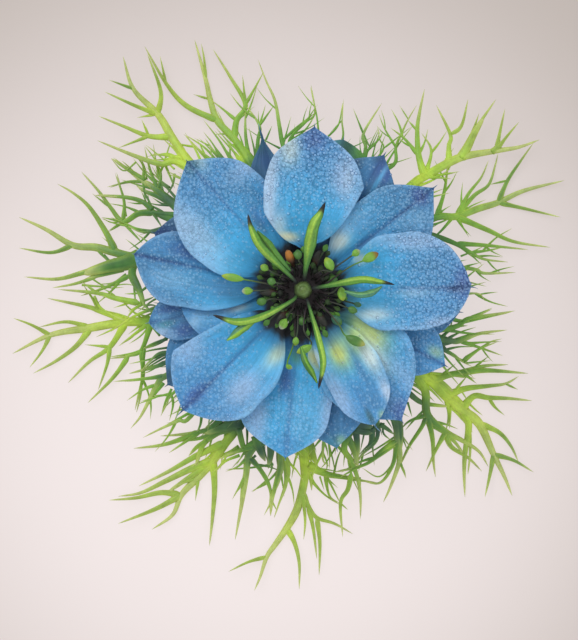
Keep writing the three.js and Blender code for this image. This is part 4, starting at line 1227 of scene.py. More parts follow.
    def skin(self) -> Skin:
        """The whole leaf."""
        halves: dict[tuple[float, float], float] = {}
        paths = self.paths()
        skins = []
        for i, places in enumerate(paths):
            run = lengths_along(places)
            keys = [tuple(place) for place in places[:, :2].round(3)]
            from_half = halves.get(keys[0], 0.5)
            for key, half in zip(keys, self.half_width(run[-1] - run, i > 0)):
                halves.setdefault(key, float(half))
            skins.append(self.thread(places, i, from_half))
        for i, (places, half) in enumerate(self.lobes(paths), len(paths)):
            skins.append(self.thread(places, i, half, fine=True))
        for i, (places, width) in enumerate(self.strands(paths), len(skins)):
            skins.append(self.thread(places, i, 0.0, fine=True, width=width))
        return Skin.joined(skins)


# Painted shade on the bracts, painted blue-black shadow and painted light: place and size in steps, strength.
BRACT_SHADE = (
    (-148, 92, 22, 0.6), (-165, 203, 16, 0.45), (215, 118, 20, 0.4), (240, 98, 16, 0.4), (147, 48, 16, 0.7),
    (-85, -140, 26, 0.85), (-45, -172, 18, 0.55), (-22, -185, 16, 0.4), (28, -180, 16, 0.4),
    (-186, 30, 16, 0.75), (-145, -65, 14, 0.7), (146, -92, 9, 0.7), (135, -132, 12, 0.7), (70, -168, 20, 0.55),
    (-190, 26, 16, 0.85), (96, -164, 14, 0.55), (-150, 100, 12, 0.9), (-156, 80, 12, 0.8), (60, 160, 12, 0.6),
    (160, -5, 16, 0.5), (-174, 36, 12, 0.5), (200, 95, 32, 0.4), (245, 112, 32, 0.45), (205, 18, 34, 0.5),
    (190, -140, 34, 0.35), (222, -168, 30, 0.45), (-225, 42, 34, 0.45), (-262, 46, 26, 0.4),
    (-196, 104, 34, 0.45), (-182, 222, 28, 0.45), (200, -80, 26, 0.35), (236, -100, 30, 0.3),
)
BRACT_SHADOWS = (
    (-62, -134, 12, 0.9), (-80, -138, 10, 0.5), (-98, -142, 9, 0.2), (-36, -160, 12, 0.95), (-40, -166, 8, 0.9),
    (-52, -168, 8, 0.6), (-24, -172, 9, 0.8), (-22, -182, 7, 0.6), (9, -160, 8, 0.8), (54, -146, 10, 0.95),
    (52, -164, 9, 0.5), (60, -134, 12, 1.0), (74, -142, 9, 1.0), (66, -156, 7, 0.8), (94, -136, 13, 0.8),
    (96, -148, 8, 0.5), (110, -104, 9, 0.9), (120, -114, 8, 0.7), (124, -128, 7, 0.5), (138, -58, 10, 0.9),
    (148, -50, 8, 0.7), (106, -86, 8, 0.8), (140, -92, 7, 0.5), (-134, 92, 10, 0.8), (-140, 78, 10, 0.5),
    (-150, 60, 9, 0.8), (-134, 108, 8, 0.6), (-172, 24, 12, 0.2), (-164, 6, 9, 0.7), (-152, -16, 9, 0.8),
    (-140, -52, 9, 0.8), (-140, -70, 9, 0.8), (-141, -86, 8, 0.6), (-82, 130, 7, 0.5), (126, 50, 7, 0.5),
    (160, -78, 7, 0.4),
)
BRACT_LIGHT = (
    (-120, 133, 22, 0.95), (-143, 170, 22, 0.7), (-71, 150, 12, 0.4), (117, 112, 20, 0.95), (147, 135, 20, 0.5),
    (152, 75, 14, 0.4), (-178, -31, 24, 0.9), (-205, -35, 20, 0.6), (-90, -170, 20, 0.95), (2, -175, 24, 0.9),
    (-16, -238, 20, 0.7), (127, -90, 16, 0.95), (-63, 133, 9, 0.9), (-72, -150, 9, 0.6), (47, -164, 10, 0.5),
    (86, -156, 8, 0.5), (150, -110, 18, 0.95), (175, -132, 22, 0.8),
)

# Open places between the threads, which no fine lobe crosses: place and size in steps.
CLEARINGS = (
    (-147, -46, 9), (-160, -46, 9), (-155, -79, 9), (-148, -93, 9), (96, 126, 8), (98, 113, 8), (89, 137, 8),
    (121, 126, 8), (56, 165, 9), (33, 158, 9), (174, -17, 10), (160, -18, 9), (147, 47, 8), (162, 64, 10),
    (168, 48, 8), (135, 87, 8), (117, -130, 8), (-53, 150, 7), (-23, 158, 9), (-30, 169, 9), (-31, 146, 7),
    (-75, 175, 8), (-150, -58, 12), (-170, -58, 8), (46, 178, 10), (60, 182, 8), (-168, 70, 7), (-119, -142, 9),
    (127, -142, 7), (-146, -96, 8), (164, -62, 8), (46, -198, 8), (185, -24, 8), (128, -155, 7),
    (-120, -158, 8), (80, -185, 8), (82, -156, 7), (-200, 118, 9), (-186, 92, 7), (20, -196, 8), (-16, -178, 5),
    (86, -174, 9), (104, -186, 12), (-50, -190, 8), (-70, -190, 8), (109, 154, 8), (119, 142, 7), (84, -157, 9),
    (-185, -72, 9), (121, -130, 9), (-96, -156, 9), (-69, -154, 8), (-53, -145, 7), (-52, 152, 9),
    (-94, -131, 8),
)

# Threads that cross their leaf, by bract: width at the start, then x, y places, all in mm.
# A few wide ones are dark sheets put where the sepals shade the leaves: painted shadow.
STRANDS: dict[str, tuple[tuple[float, ...], ...]] = {
    "north_west": (
        (0.3, -19.6, 16.9, -20.4, 18.2, -21.5, 19.6), (0.3, -17.4, 16.4, -19.2, 18, -21.3, 19.7),
        (0.35, -16.6, 17.6, -18.2, 18.5, -20.6, 18.2), (0.3, -22.6, 17.4, -24.3, 16.2, -26, 17.8),
    ),
    "north_north_west": (
        (1.5, -6.6, 17, -8, 18.9, -9.7, 20.6), (0.35, -9.9, 17.4, -9.9, 20.4),
        (0.3, -9.5, 19.8, -8.3, 18, -7.5, 16.6), (0.4, -11.4, 17.2, -13.3, 19.3, -15.8, 21),
        (0.3, -10.2, 17.2, -12.2, 19.8), (0.3, -12.6, 17.2, -14.8, 19.6), (0.25, -11, 17.4, -12.6, 20.6),
        (0.3, -5, 20.4, -4.2, 22.3), (0.3, -9.6, 20.8, -10.8, 21.2, -12, 21.1),
    ),
    "north": (
        (0.45, -2.8, 20.2, -1, 21.9, 1.6, 24), (0.35, -1.8, 20.2, 0.2, 21.6, 1.7, 23.8),
        (0.3, 2.1, 21.7, 1.8, 24, 1, 27.6), (0.3, 3.3, 20.7, 4.8, 22.4, 5.4, 25.4),
    ),
    "north_north_east": (
        (0.4, 8.4, 19.2, 8.8, 19, 10.4, 20.6, 10.8, 21.6), (0.3, 8.2, 21.2, 9.2, 19.4, 10.4, 20.4),
    ),
    "north_east": (
        (1.3, 14.7, 14.2, 16.5, 15.4, 19.8, 17.3, 22.1, 18.2, 26.2, 18.9),
        (1.5, 21.4, 17.9, 22.3, 19.4, 23.2, 21.2, 24.6, 23.6), (1.0, 25.6, 18.7, 26.4, 19.5, 26.7, 20.8),
    ),
    "east": (
        (0.5, 20.2, 9.7, 18.7, 8, 17.3, 6.8), (0.3, 20.8, 9.7, 21.6, 8.6, 22.8, 7.3),
        (0.35, 21, 6.1, 22.4, 5, 23.4, 4.2), (0.3, 21.4, 4.6, 23.4, 5.4, 24.6, 6),
        (1.2, 15.6, 9.4, 18, 9.8, 20.8, 10.1),
    ),
    "east_south_east": (
        (0.8, 18.4, -7.4, 20.4, -6.9, 22.4, -6.2, 24.6, -5.7), (0.4, 21.8, -9.8, 24, -8, 26.4, -7),
        (0.5, 18.6, -7.2, 20.2, -8.8, 22.6, -9.9), (0.5, 18.6, -6.5, 20.4, -5, 22, -4.2, 25.6, -2.6),
        (0.35, 21, -4.6, 24.5, -3.8, 28.2, -3), (0.3, 19.2, -6.2, 20, -4.9, 20.3, -3.4),
        (0.8, 19.4, -3.4, 20.8, -4.1, 22.6, -4.2),
    ),
    "south_east": (
        (1.0, 16.9, -11.5, 18.9, -12.6, 20.7, -14.1), (0.9, 14.4, -14, 16, -15.2, 18, -15.6, 20, -15.8),
        (0.5, 14.4, -12.5, 15.8, -13.3, 17.2, -15), (0.3, 14.6, -13.2, 16.6, -14.6),
        (0.4, 16.5, -16.2, 15, -17.7, 13.9, -19), (0.35, 14.2, -15.2, 14.8, -17.2),
        (0.7, 16.9, -16.9, 16.1, -18.6, 14.4, -21.2, 13.2, -23.8), (0.5, 20, -15.8, 19.9, -18.8),
        (0.9, 16.9, -16.6, 17.4, -18.6), (0.5, 22.7, -17.4, 22.6, -19, 22.3, -21.8),
        (0.8, 17.3, -18.2, 19, -19.2, 20.6, -20.6, 22, -22.5), (0.4, 22, -14.8, 23.4, -16.2, 24.4, -17),
        (0.3, 21.2, -13.2, 22.5, -15.2), (0.6, 21.5, -16.2, 22.6, -19, 22.7, -22, 22.4, -25),
        (1.4, 16.4, -11.8, 18.6, -13, 20.6, -14.6, 22.6, -16.6, 24, -18.4),
    ),
    "south_south_east": (
        # The first two are wide dark sheets where the sepals shade the leaf: painted shadow, darkened further by
        # the listed blue-black spots.
        (1.9, 6.6, -17.6, 8.3, -18.2, 9.6, -18.7), (1.5, 7, -18.7, 8.6, -19.2, 9.9, -19.1),
        (0.8, 10.4, -18.2, 11.4, -18.8, 12.4, -19.6), (1.1, 9.3, -18.6, 9.3, -20.4, 8.5, -22),
        (1.3, 12.8, -17, 13.2, -19.5, 13.2, -22), (0.35, 12.6, -19.8, 10.3, -21.3, 8, -22.6),
        (1.2, 7, -18.2, 7.3, -20.2, 7.5, -22.8), (0.7, 12.6, -20.8, 10.2, -22.5, 8, -23.8, 4.2, -24.7),
        (0.4, 10.9, -18, 10.9, -19.4, 12, -20.4), (0.35, 13, -21.5, 12.2, -23.5, 10.3, -25.3, 8, -24.1),
        (1.3, 5.4, -19, 6.7, -21.2, 7.5, -24), (0.45, 4.6, -21, 6, -22.6, 7.6, -24),
        (0.4, 7.6, -24, 6.4, -24.6, 5, -25.4), (0.3, 13.1, -23.4, 13.7, -24.4, 14, -25.6),
    ),
    "south": (
        (1.2, 0.9, -20.8, 1.4, -22.4, 2, -24), (1.1, 0.8, -23.6, 2.6, -24.7, 4.4, -25.2, 8, -25.7),
        (0.35, 7.7, -25.4, 7.9, -30.6), (1.9, 0, -21, 0.2, -23.2, 0.1, -26), (0.4, 3.2, -25.2, 5.1, -29),
        (0.4, 1.2, -26, 3, -27.8, 5.1, -29.2), (0.3, 2.3, -25.3, 2.9, -27.2),
        (0.35, 2.6, -21.8, 3.3, -23.6, 3, -24.8), (0.3, 4.4, -21.4, 3.2, -23.3, 2.2, -24.4),
        (0.3, 3.6, -21.3, 4.1, -23.2, 4.4, -25), (0.8, 0.2, -23.5, 1, -25.4, 1.2, -27.2),
        (0.3, 1.2, -24.4, 1.4, -26), (0.35, 4.2, -24.9, 4.7, -22.8, 5.4, -21.2),
    ),
    "south_south_west": (
        (0.9, -8.7, -18.8, -8.1, -21.2, -7.3, -23, -7.7, -24.4, -8.2, -27, -8.5, -31),
        (1.6, -6.3, -19.8, -5.9, -21.4, -5.1, -23.2), (1.3, -4.3, -20.6, -4.4, -22.4, -4.7, -24.2),
        (0.8, -5, -20.6, -7.8, -21.6, -10.6, -22.3), (0.4, -4, -23.6, -7.2, -24.1, -10.4, -24.3),
        (0.6, -6.8, -23, -5.2, -25.4, -4.4, -27.5, -4.6, -29.6), (0.35, -5, -25.9, -6.9, -27.4),
        (0.3, -8.1, -26.2, -9.4, -27.9), (1.0, -3, -21.6, -3.1, -23.8, -3.6, -26, -4.2, -28.4, -4.4, -30.6),
        (0.5, -2.5, -22.6, -2.4, -26, -3, -28.2, -3.9, -30.8), (0.4, -3.5, -24.6, -4.4, -25.6, -5.6, -26.6),
        (0.4, -6.4, -22.4, -7.3, -23.4, -7.9, -24.6), (0.4, -4.6, -22.4, -4.2, -24, -4.9, -25.6),
        (0.5, -8.6, -22.4, -10.5, -23.2, -11.8, -24.6),
    ),
    "south_west": (
        # The first two are wide dark sheets in the shade where the leaf meets the sepals' tips: painted shadow.
        (2.0, -8.2, -16.8, -8.6, -18.4, -9.6, -19.8), (2.0, -8.3, -17.9, -11, -18.6, -13.4, -19.5),
        (0.7, -11.5, -19, -14, -20.1, -17.5, -20.5), (1.1, -10.8, -18.8, -13.1, -20.4, -14, -22, -14.6, -24.4),
        (0.35, -12.2, -19.6, -12.8, -21.6, -13.3, -22.9), (0.8, -12, -23, -12.1, -27, -12.2, -31),
        (0.5, -13.7, -16.4, -13.9, -18.2, -14.6, -19.8), (1.1, -8.6, -21.4, -9.8, -22.1, -11.8, -22.8),
        (1.0, -12.8, -23.6, -15.4, -25.4, -18.6, -27.6), (0.8, -13, -20.4, -14.4, -21.3, -15.5, -22.5),
    ),
    "west_south_west": (
        (0.5, -14.8, -16.3, -16.4, -17.2, -19, -18.6), (0.5, -18.4, -11.5, -21, -12, -24.2, -12.4),
        (0.6, -18.9, -12.6, -20.5, -14.6, -22, -17.2), (0.4, -17.8, -13.4, -18.6, -15, -19.2, -17),
        (0.35, -18.5, -9, -20.4, -10.1, -21.9, -11), (0.3, -18.6, -9.6, -20.6, -10.9, -21.9, -11.4),
    ),
    "west": (
        (1.5, -20.4, -4.2, -23.4, -4.4, -26.4, -4.7), (0.5, -18.4, -6.6, -20.4, -7.3, -22, -8.1),
        (0.35, -18.4, -7.8, -20.8, -8.2, -22.6, -8.8), (0.35, -18.5, -8.6, -20.5, -9.8, -21.8, -11),
        (0.5, -21.5, -8, -21.8, -11, -22, -14, -22.6, -16.6), (0.3, -21.6, -4.6, -23.2, -6.4, -24.8, -7.4),
        (0.3, -20.8, -4.8, -22, -6.2, -23.6, -7.3), (0.45, -19, -2.4, -20.6, -3.2, -22.4, -3.9),
        (0.35, -19.4, -6.2, -20.6, -4.8, -20.8, -4.2), (0.35, -21.6, -8, -23.4, -8.6, -26.4, -9.1),
        (0.35, -21.9, -3.8, -23.4, -2.6, -24.6, -1.4),
    ),
    "west_north_west": (
        (2.6, -22.2, 4.4, -24, 3.7, -26.4, 3.2, -30, 2.2),
        (1.2, -22.8, 3.8, -23.1, 2.2, -22.2, 0.2, -21.4, -2.4), (0.4, -21.2, 0.4, -22.4, -0.4, -24.2, -0.5),
        (0.35, -30, 0.7, -27, 0.5, -24, 0.8, -22.6, 0.5), (0.3, -29, 1.8, -26.6, 0.4, -24.2, 0.4),
        (0.3, -24, 2.2, -25.8, 1, -28, 0.8), (0.4, -22, -1.6, -20.8, -1.2, -20, -0.8),
        (0.35, -21.6, -2.2, -20.6, -2, -19.6, -2.2), (0.4, -28.3, -0.8, -27.4, -2.4, -25.4, -3.6, -24, -4.2),
        (0.5, -22.6, -1.9, -25.4, -1.1, -28.2, -0.5), (0.4, -27, 4.8, -26.2, 4, -25.4, 3.6),
        (1.0, -24.4, 2.9, -26.6, 2.3, -29.6, 1.5), (0.9, -25.4, 4, -28, 3, -31.2, 2.1),
        (0.5, -21.8, -1.9, -23, -2.7, -24, -4),
    ),
    "west_by_north": (
        (1.5, -17, 11.2, -19.1, 13, -21.7, 15), (0.8, -21.4, 14.9, -23, 15.9, -26, 17.9),
        (0.4, -21.6, 14.8, -24, 14.6, -26.6, 14), (1.0, -17.4, 9.4, -19.3, 10.1, -20.6, 10.9, -21.6, 11.5),
        (0.5, -24.2, 9, -23.2, 7.9, -21.8, 6.4), (0.9, -18, 8, -20, 7.9, -22.2, 8.2),
        (1.0, -17.4, 11.4, -19.6, 12.7, -21.4, 13.4, -22.6, 14.2), (0.4, -18.6, 16.8, -18, 15.4, -17.4, 13.8),
        (0.8, -20.4, 10.9, -21.8, 12, -24, 12.6, -28.2, 12.9), (0.7, -20.6, 10.6, -22.4, 10.4, -24.2, 9.4),
        (0.5, -24.2, 9, -22.5, 8.3, -20, 8, -18, 7.8), (0.45, -20.8, 11, -19.6, 9.3, -19, 8.3),
        (0.35, -24, 10, -24.6, 13.3, -25.3, 16), (0.35, -24.3, 9.2, -26.4, 7.9),
        (0.3, -18.2, 13.7, -20, 15, -21.8, 16.7), (0.3, -18, 13.9, -19.4, 15, -20.5, 16.8),
        (0.3, -21.2, 15, -21.4, 16.4, -22, 18), (0.4, -17.4, 15.8, -17.7, 14.2, -18.6, 12.8),
        (0.3, -20.9, 11, -21.3, 12, -22, 13.6), (0.35, -17.6, 11.7, -19, 11.7, -20.5, 12.6),
        (0.35, -22, 14.8, -23.3, 16.4, -24.6, 17.6), (0.3, -24.4, 9.4, -26, 9.2, -27.2, 9.8),
    ),
}

BRACTS = (
    Bract("north_west", 1, (
        (-8, 9, -15.7, 17.8, -17.8, 20.8, -19.7, 23.9, -23, 27.3, -24.4, 31.7),
        (-23, 27.3, -26.3, 28.5), (-19.7, 23.9, -19.3, 27, -21.1, 32.1), (-19.7, 23.9, -22.7, 25, -26.9, 26.9),
        (-19.7, 23.9, -22.5, 23.4), (-17.8, 20.8, -20.9, 20.9, -24.5, 22.3, -27.7, 23.6),
        (-20.9, 20.9, -25, 19.3), (-20.9, 20.9, -21.9, 23.2), (-15.7, 17.8, -19.6, 18.4, -21.1, 18.1),
        (-8, 9, -16, 16.9, -19.3, 17.1, -22.5, 18.1, -27.9, 20.3),
    ), 1.1),
    Bract("north_north_west", 0, (
        (-4, 9, -6.5, 15, -7.3, 17.4, -9.3, 20.5, -11.6, 23, -12.6, 25.9, -13.2, 28.6, -14.7, 34),
        (-13.2, 28.6, -13.4, 31.3, -13.8, 33.5), (-11.6, 23, -15.9, 25.1, -18.6, 28.1, -21.5, 33.1),
        (-18.6, 28.1, -19.4, 31.8), (-12.6, 25.9, -14.9, 26.6),
        (-9.3, 20.5, -9, 23, -7.8, 25.2, -9.9, 29, -12.2, 32.7), (-7.8, 25.2, -6.6, 27.3, -5.3, 29.7),
        (-7.8, 25.2, -8.2, 29.2), (-9, 23, -10.9, 24.6, -12.6, 25.9), (-6.5, 15, -7.7, 20.3, -7.8, 25.2),
        (-6.5, 15, -6.1, 20.3, -5.9, 22.3, -7.8, 25.2), (-5.9, 22.3, -3.9, 25.1),
        (-6.5, 15, -12.6, 17.8, -16.2, 21.2), (-6.5, 15, -11.2, 18, -13.3, 20.6),
    ), 0.95),
    Bract("north", 1, (
        (-0.5, 10, -1.5, 17, -2.7, 19.6, -3.2, 22.3, -3.8, 25.7, -5, 28.4, -6.1, 31.3),
        (-1.5, 17, -1.8, 20.3, 0.3, 22.7, 1.6, 24, 1.1, 27.9), (0.3, 22.7, 2, 25.2), (-2.7, 19.6, -1.6, 23.6),
        (-0.5, 10, 3, 17, 5.3, 20.3, 5.3, 23, 5.5, 25.9), (5.3, 23, 3.6, 21.2),
    ), 0.6),
    Bract("north_north_east", 0, (
        (5, 9, 7.5, 15, 8.5, 19.2, 8.2, 21.2, 10.7, 25.4),
        (8.2, 21.2, 6.8, 24.7), (7.5, 15, 10.8, 18.9, 10.4, 20.5, 10.1, 22.3),
        (7.5, 15, 12.2, 16.9, 12.6, 19.4, 13.4, 21.3, 14.3, 23.2, 15.5, 25.2), (14.3, 23.2, 13.1, 25.1),
        (12.6, 19.4, 11.1, 21.9, 10.3, 23.9),
    ), 0.7),
    Bract("north_east", 1, (
        (8, 8, 14.7, 14.2, 16.5, 15.4, 19.8, 17.3, 22.1, 18.2, 26.2, 18.9, 29.3, 19.4, 32.1, 20.4),
        (26.2, 18.9, 26.9, 22.3, 27.4, 24.6), (26.2, 18.9, 27.7, 20.9, 29.3, 22.8),
        (22.1, 18.2, 22.7, 20.5, 24.2, 23, 26.2, 25.9), (22.7, 20.5, 23.9, 24),
        (19.8, 17.3, 19.8, 19.6, 20, 21.1, 18.1, 25.1), (20, 21.1, 21.5, 22.3, 22.4, 25.9),
        (16.5, 15.4, 15.7, 18.2, 15.5, 21.6, 15.8, 24, 16.5, 27.3), (15.7, 18.2, 13.8, 20.5, 11.9, 22),
        (15.5, 21.6, 14.2, 23.1), (16.5, 15.4, 17.4, 18.9, 16.1, 21.3), (16.5, 15.4, 20.1, 15.1),
    ), 1.15),
    Bract("east", 0, (
        (9, 4, 15, 8, 18.1, 9.9, 20.8, 10, 23.9, 11.1, 26.5, 11.9, 30, 13.5, 35.5, 14.9),
        (26.5, 11.9, 30, 11.1, 35, 9.9), (26.5, 11.9, 27.8, 14.9, 29.6, 17.6, 31.3, 20),
        (27.8, 14.9, 25.2, 14.3), (20.8, 10, 23.2, 12.8, 25.2, 14.3, 26.1, 16.9, 26.5, 18.6),
        (20.8, 10, 22.5, 13.1, 24.2, 15.3, 25.2, 17.6), (20.8, 10, 25.2, 8.1, 28.6, 6.6, 33.6, 5.8),
        (20.8, 10, 22.5, 7.2), (18.1, 9.9, 19.2, 13.5, 19.8, 18.2),
        (15, 8, 18, 7.3, 20.7, 6.3, 22.8, 5.1, 24.6, 4.2, 27.9, 3.8), (20.7, 6.3, 24.6, 6.1, 30.6, 5.5),
        (22.8, 5.1, 25.2, 5.4, 27.4, 5.9), (9, 4, 22.1, 3, 24.6, 2.3, 28.9, 2.4),
    ), 0.95),
    Bract("east_south_east", 1, (
        (9, -3.5, 14.5, -6, 19.6, -6.8, 21.2, -6.9, 23.9, -5.9, 27.7, -5.4),
        (21.2, -6.9, 24, -7.8, 27.1, -8.9), (14.5, -6, 20.5, -5, 22.3, -3.9, 25.2, -3.4, 28.8, -2.8),
        (22.3, -3.9, 25.7, -2.4), (14.5, -6, 19.8, -8.4, 21.5, -9.6, 23, -10.4),
        (21.5, -9.6, 23.9, -8, 25.5, -7, 27, -6.6), (9, -3.5, 22.3, -0.5, 24.8, -1.5),
    )),
    Bract("south_east", 0, (
        (8, -7, 13, -10.5, 15.4, -11.3, 17.3, -12.3, 19.4, -14.4, 21.5, -16.2, 23.9, -18.1, 25.9, -22.3, 27.4,
         -25.4, 28.4, -27.9),
        (25.9, -22.3, 28.6, -23.1, 31.3, -24.7), (25.9, -22.3, 25.4, -25, 24.7, -28.1),
        (23.9, -18.1, 26.6, -19.3, 28.2, -21.1, 29.3, -23.4),
        (21.5, -16.2, 22.5, -18.2, 22, -22.3, 21.9, -25, 22, -28.1),
        (17.3, -12.3, 19.4, -11.6, 21.6, -11.1, 24.6, -10.3, 27.9, -10.1),
        (21.6, -11.1, 25.2, -10.9, 30.6, -11.3), (21.6, -11.1, 23.6, -12.7),
        (19.4, -14.4, 21.9, -13.4, 25.2, -13, 27.5, -12.7, 29.3, -11.7), (27.5, -12.7, 29.2, -13.5),
        (21.5, -16.2, 23.2, -14.4, 25.2, -14.6, 27.9, -14.7, 31.1, -15), (25.2, -14.6, 26.1, -15.9, 27.4, -17),
        (15.4, -11.3, 16.6, -13.8, 16.9, -16.9, 19.4, -19.2, 21.6, -20.4, 23.9, -21.9, 25.2, -24),
        (19.4, -19.2, 20.1, -21.2, 22.5, -22.8, 24.3, -24.6), (16.9, -16.9, 17.6, -20.3, 17.7, -23, 18, -25.4),
        (19.4, -19.2, 18.1, -21.6, 16.7, -24.6), (19.4, -14.4, 19.8, -16.9, 19.4, -19.2),
        (16.9, -16.9, 14.4, -17.8, 13.2, -19), (16.9, -16.9, 15.8, -19.2, 14.4, -21.3),
    ), 1.3),
    Bract("south_south_east", 1, (
        (5, -9, 9.5, -14.5, 12.4, -17.3, 12.8, -20.3, 13.1, -23, 11.9, -26.6, 10.9, -28.8),
        (13.1, -23, 13.9, -25.4), (12.8, -20.3, 10.7, -21.7, 8.8, -23.4, 6.6, -24.6),
        (9.5, -14.5, 10.1, -19.8, 8, -22.3, 6.8, -24.3), (12.8, -20.3, 12.2, -23.6, 10.5, -26.1, 8, -25.9),
        (6.6, -24.6, 6.1, -27, 5.1, -28.9, 5.4, -33.5), (5.1, -28.9, 6.1, -29.8),
        (9.5, -14.5, 5.7, -20.7, 6.6, -23.2, 7.4, -25.5, 7.8, -28.1, 7.8, -31.1), (5, -9, 2.7, -21.6, 3.6, -24),
    ), 1.1),
    Bract("south", 0, (
        (0, -10, -0.1, -17, -0.1, -21.2, 0.4, -23.9, -0.1, -27.3, -0.9, -30, -2.2, -32.3, -3.8, -34.6, -4.9,
         -36.2, -5.8, -38.9, -6.6, -40.8),
        (-4.9, -36.2, -7.4, -36.9, -10.1, -38.2), (-2.2, -32.3, -1.1, -34.4, -0.5, -37.1, -0.5, -40.6),
        (-0.1, -27.3, 0.7, -29.3, 1.9, -30.9, 4.3, -31.7, 6.8, -33.1), (1.9, -30.9, 2.3, -34.4, 2.2, -38.7),
        (0.7, -29.3, 1.4, -32.4, 1.9, -36.5), (-0.1, -27.3, 0.3, -31.1, 0.1, -33.9),
        (0.4, -23.9, 3, -25, 5.3, -25.4, 7.7, -25.8, 10.4, -26.2), (3, -25, 3.6, -27.9, 5.1, -29),
        (0.4, -23.9, 1.4, -25.9, 2.6, -27.3),
    ), 1.1),
    Bract("south_south_west", 1, (
        (-3, -9, -5.5, -16, -6.2, -20.3, -7.4, -22.5, -7.7, -25, -8.2, -28.4, -9.2, -33.9),
        (-7.7, -25, -9.6, -28.4), (-7.4, -22.5, -8.8, -23.9, -10.5, -24.6),
        (-7.4, -22.5, -5.8, -24.3, -4.7, -26.1, -4.3, -28.4, -5.3, -30.6), (-4.7, -26.1, -7, -27.3),
        (-4.3, -28.4, -3.5, -30), (-5.5, -16, -3, -22.7, -3.1, -25.4, -4.3, -28.4),
        (-5.5, -16, -2.2, -23.2, -2.3, -26.3, -3.2, -28.8, -3.9, -30.9),
        (-6.2, -20.3, -8.5, -21.6, -11.9, -23.1),
    )),
    Bract("south_west", 0, (
        (-5, -8, -8, -14, -9, -18.5, -10.5, -20.7, -12.2, -23.1, -14.2, -25.4, -16.5, -27.8, -17.7, -30.5,
         -20.5, -32.5),
        (-16.5, -27.8, -20, -29.7, -25.1, -31.7), (-16.5, -27.8, -19.3, -27.5, -22.7, -28.2, -26.3, -28.5),
        (-12.2, -23.1, -15.3, -24.3, -18.6, -25.9, -22, -27.5, -25.1, -28),
        (-12.2, -23.1, -12, -27, -12.3, -31.1, -12.7, -34.7),
        (-10.5, -20.7, -14.3, -22.4, -18.2, -24.6, -22.3, -26.6), (-14.2, -25.4, -14.6, -28.6),
        (-14.2, -25.4, -17.3, -26.6), (-8, -14, -11.9, -18.2, -13.9, -19.2, -16.6, -19.6, -19.4, -19.8),
        (-13.9, -19.2, -18.6, -20.9, -23, -21.5), (-13.9, -19.2, -18.2, -22.1),
        (-9, -18.5, -13.2, -20.3, -14.2, -23, -15, -24),
    ), 1.2),
    Bract("west_south_west", 1, (
        (-8, -6, -13, -9.5, -18.5, -11.6, -19.8, -12.8, -20.7, -14.6, -22, -17.1, -23.4, -18.8),
        (-18.5, -11.6, -21.3, -12, -25.7, -12.4), (-19.8, -12.8, -21.7, -13.5, -23.9, -15),
        (-13, -9.5, -17.8, -14.2, -18.4, -15.3, -19.3, -17.1), (-17.8, -14.2, -17.6, -15.5, -18.1, -17.7),
        (-17.8, -14.2, -20.5, -14.3), (-8, -6, -14.9, -16.7, -16.9, -17.7, -19.3, -18.8, -21.7, -20),
        (-13, -9.5, -18.6, -8.4, -20.7, -9.6, -22, -11.1), (-13, -9.5, -18.2, -9.7, -20, -10.3, -23.6, -11.3),
    )),
    Bract("west", 0, (
        (-9, -1.5, -15, -3.2, -20.5, -4.2, -24, -4.3, -28.8, -5.1, -34.3, -6.1, -39.4, -8.6),
        (-34.3, -6.1, -36.9, -4.7, -39.3, -3.8), (-34.3, -6.1, -35.5, -8.4, -37.1, -10.5),
        (-28.8, -5.1, -32.1, -4.3, -35.8, -5), (-28.8, -5.1, -30.8, -7.6, -33.5, -9.6, -36.6, -11.3),
        (-24, -4.3, -26.2, -7.7, -29, -9.7, -31.9, -12.6), (-26.2, -7.7, -26.6, -10.1, -27.8, -13.6),
        (-26.2, -7.7, -29.6, -7.4), (-20.5, -4.2, -21.9, -8.1, -23.6, -8.9, -26.3, -9.3),
        (-21.9, -8.1, -21.7, -11.5, -22.3, -14.2, -22.8, -16.3), (-23.6, -8.9, -25.8, -11.9, -29.2, -15.3),
        (-20.5, -4.2, -25, -7.6), (-15, -3.2, -18.9, -6.8, -21.9, -8.1),
        (-24, -4.3, -25.7, -3.5, -27.7, -2.8, -29.4, -2.2, -34.7, -1.1), (-27.7, -2.8, -28.4, -1.4, -29.8, 0.7),
    ), 1.15),
    Bract("west_north_west", 1, (
        (-9, 2, -16, 3.8, -22.7, 4.5, -25.4, 5.1, -28.1, 5.8, -31.2, 6.1, -34.8, 8.2, -38.5, 9.9),
        (-31.2, 6.1, -34.2, 5.1, -38.5, 5.7), (-22.7, 4.5, -26.1, 3.5, -30.1, 2.3, -33.5, 1.5, -37.8, 1.8),
        (-26.1, 3.5, -28.1, 1.9, -30.8, 0.9, -34, 0.3),
        (-25.4, 5.1, -26.7, 7.8, -29, 11.3, -31.2, 13.2, -33.3, 14.4),
        (-22.7, 4.5, -23.4, 2, -22.3, -0.3, -22, -1.8, -23.6, -2.8),
        (-22, -1.8, -25.4, -1.1, -27.9, -0.4, -33.2, 0.1), (-27.9, -0.4, -30.1, 1.2),
        (-23.4, 2, -26.7, 0.4, -30.2, -0.8), (-28.1, 5.8, -26.1, 3.5), (-16, 3.8, -19.7, -2.6, -22, -1.8),
    ), 1.1),
    Bract("west_by_north", 0, (
        (-8, 6, -14, 10, -17.7, 11.9, -19.6, 13.5, -21.7, 14.7, -25.7, 18),
        (-21.7, 14.7, -24, 14.7, -26.2, 13.9), (-21.7, 14.7, -21.7, 16.9, -23, 18.6),
        (-14, 10, -20, 10.5, -21.3, 11.7, -23.6, 12.6, -27, 12.7),
        (-20, 10.5, -22.3, 10.4, -24.4, 9.3, -26.1, 11.2, -27.7, 13.4, -30.1, 16.1), (-24.4, 9.3, -26.5, 8),
        (-24.4, 9.3, -24.3, 12.2, -25.5, 15.9), (-14, 10, -20.7, 8, -23.1, 8.4, -24.4, 9.3),
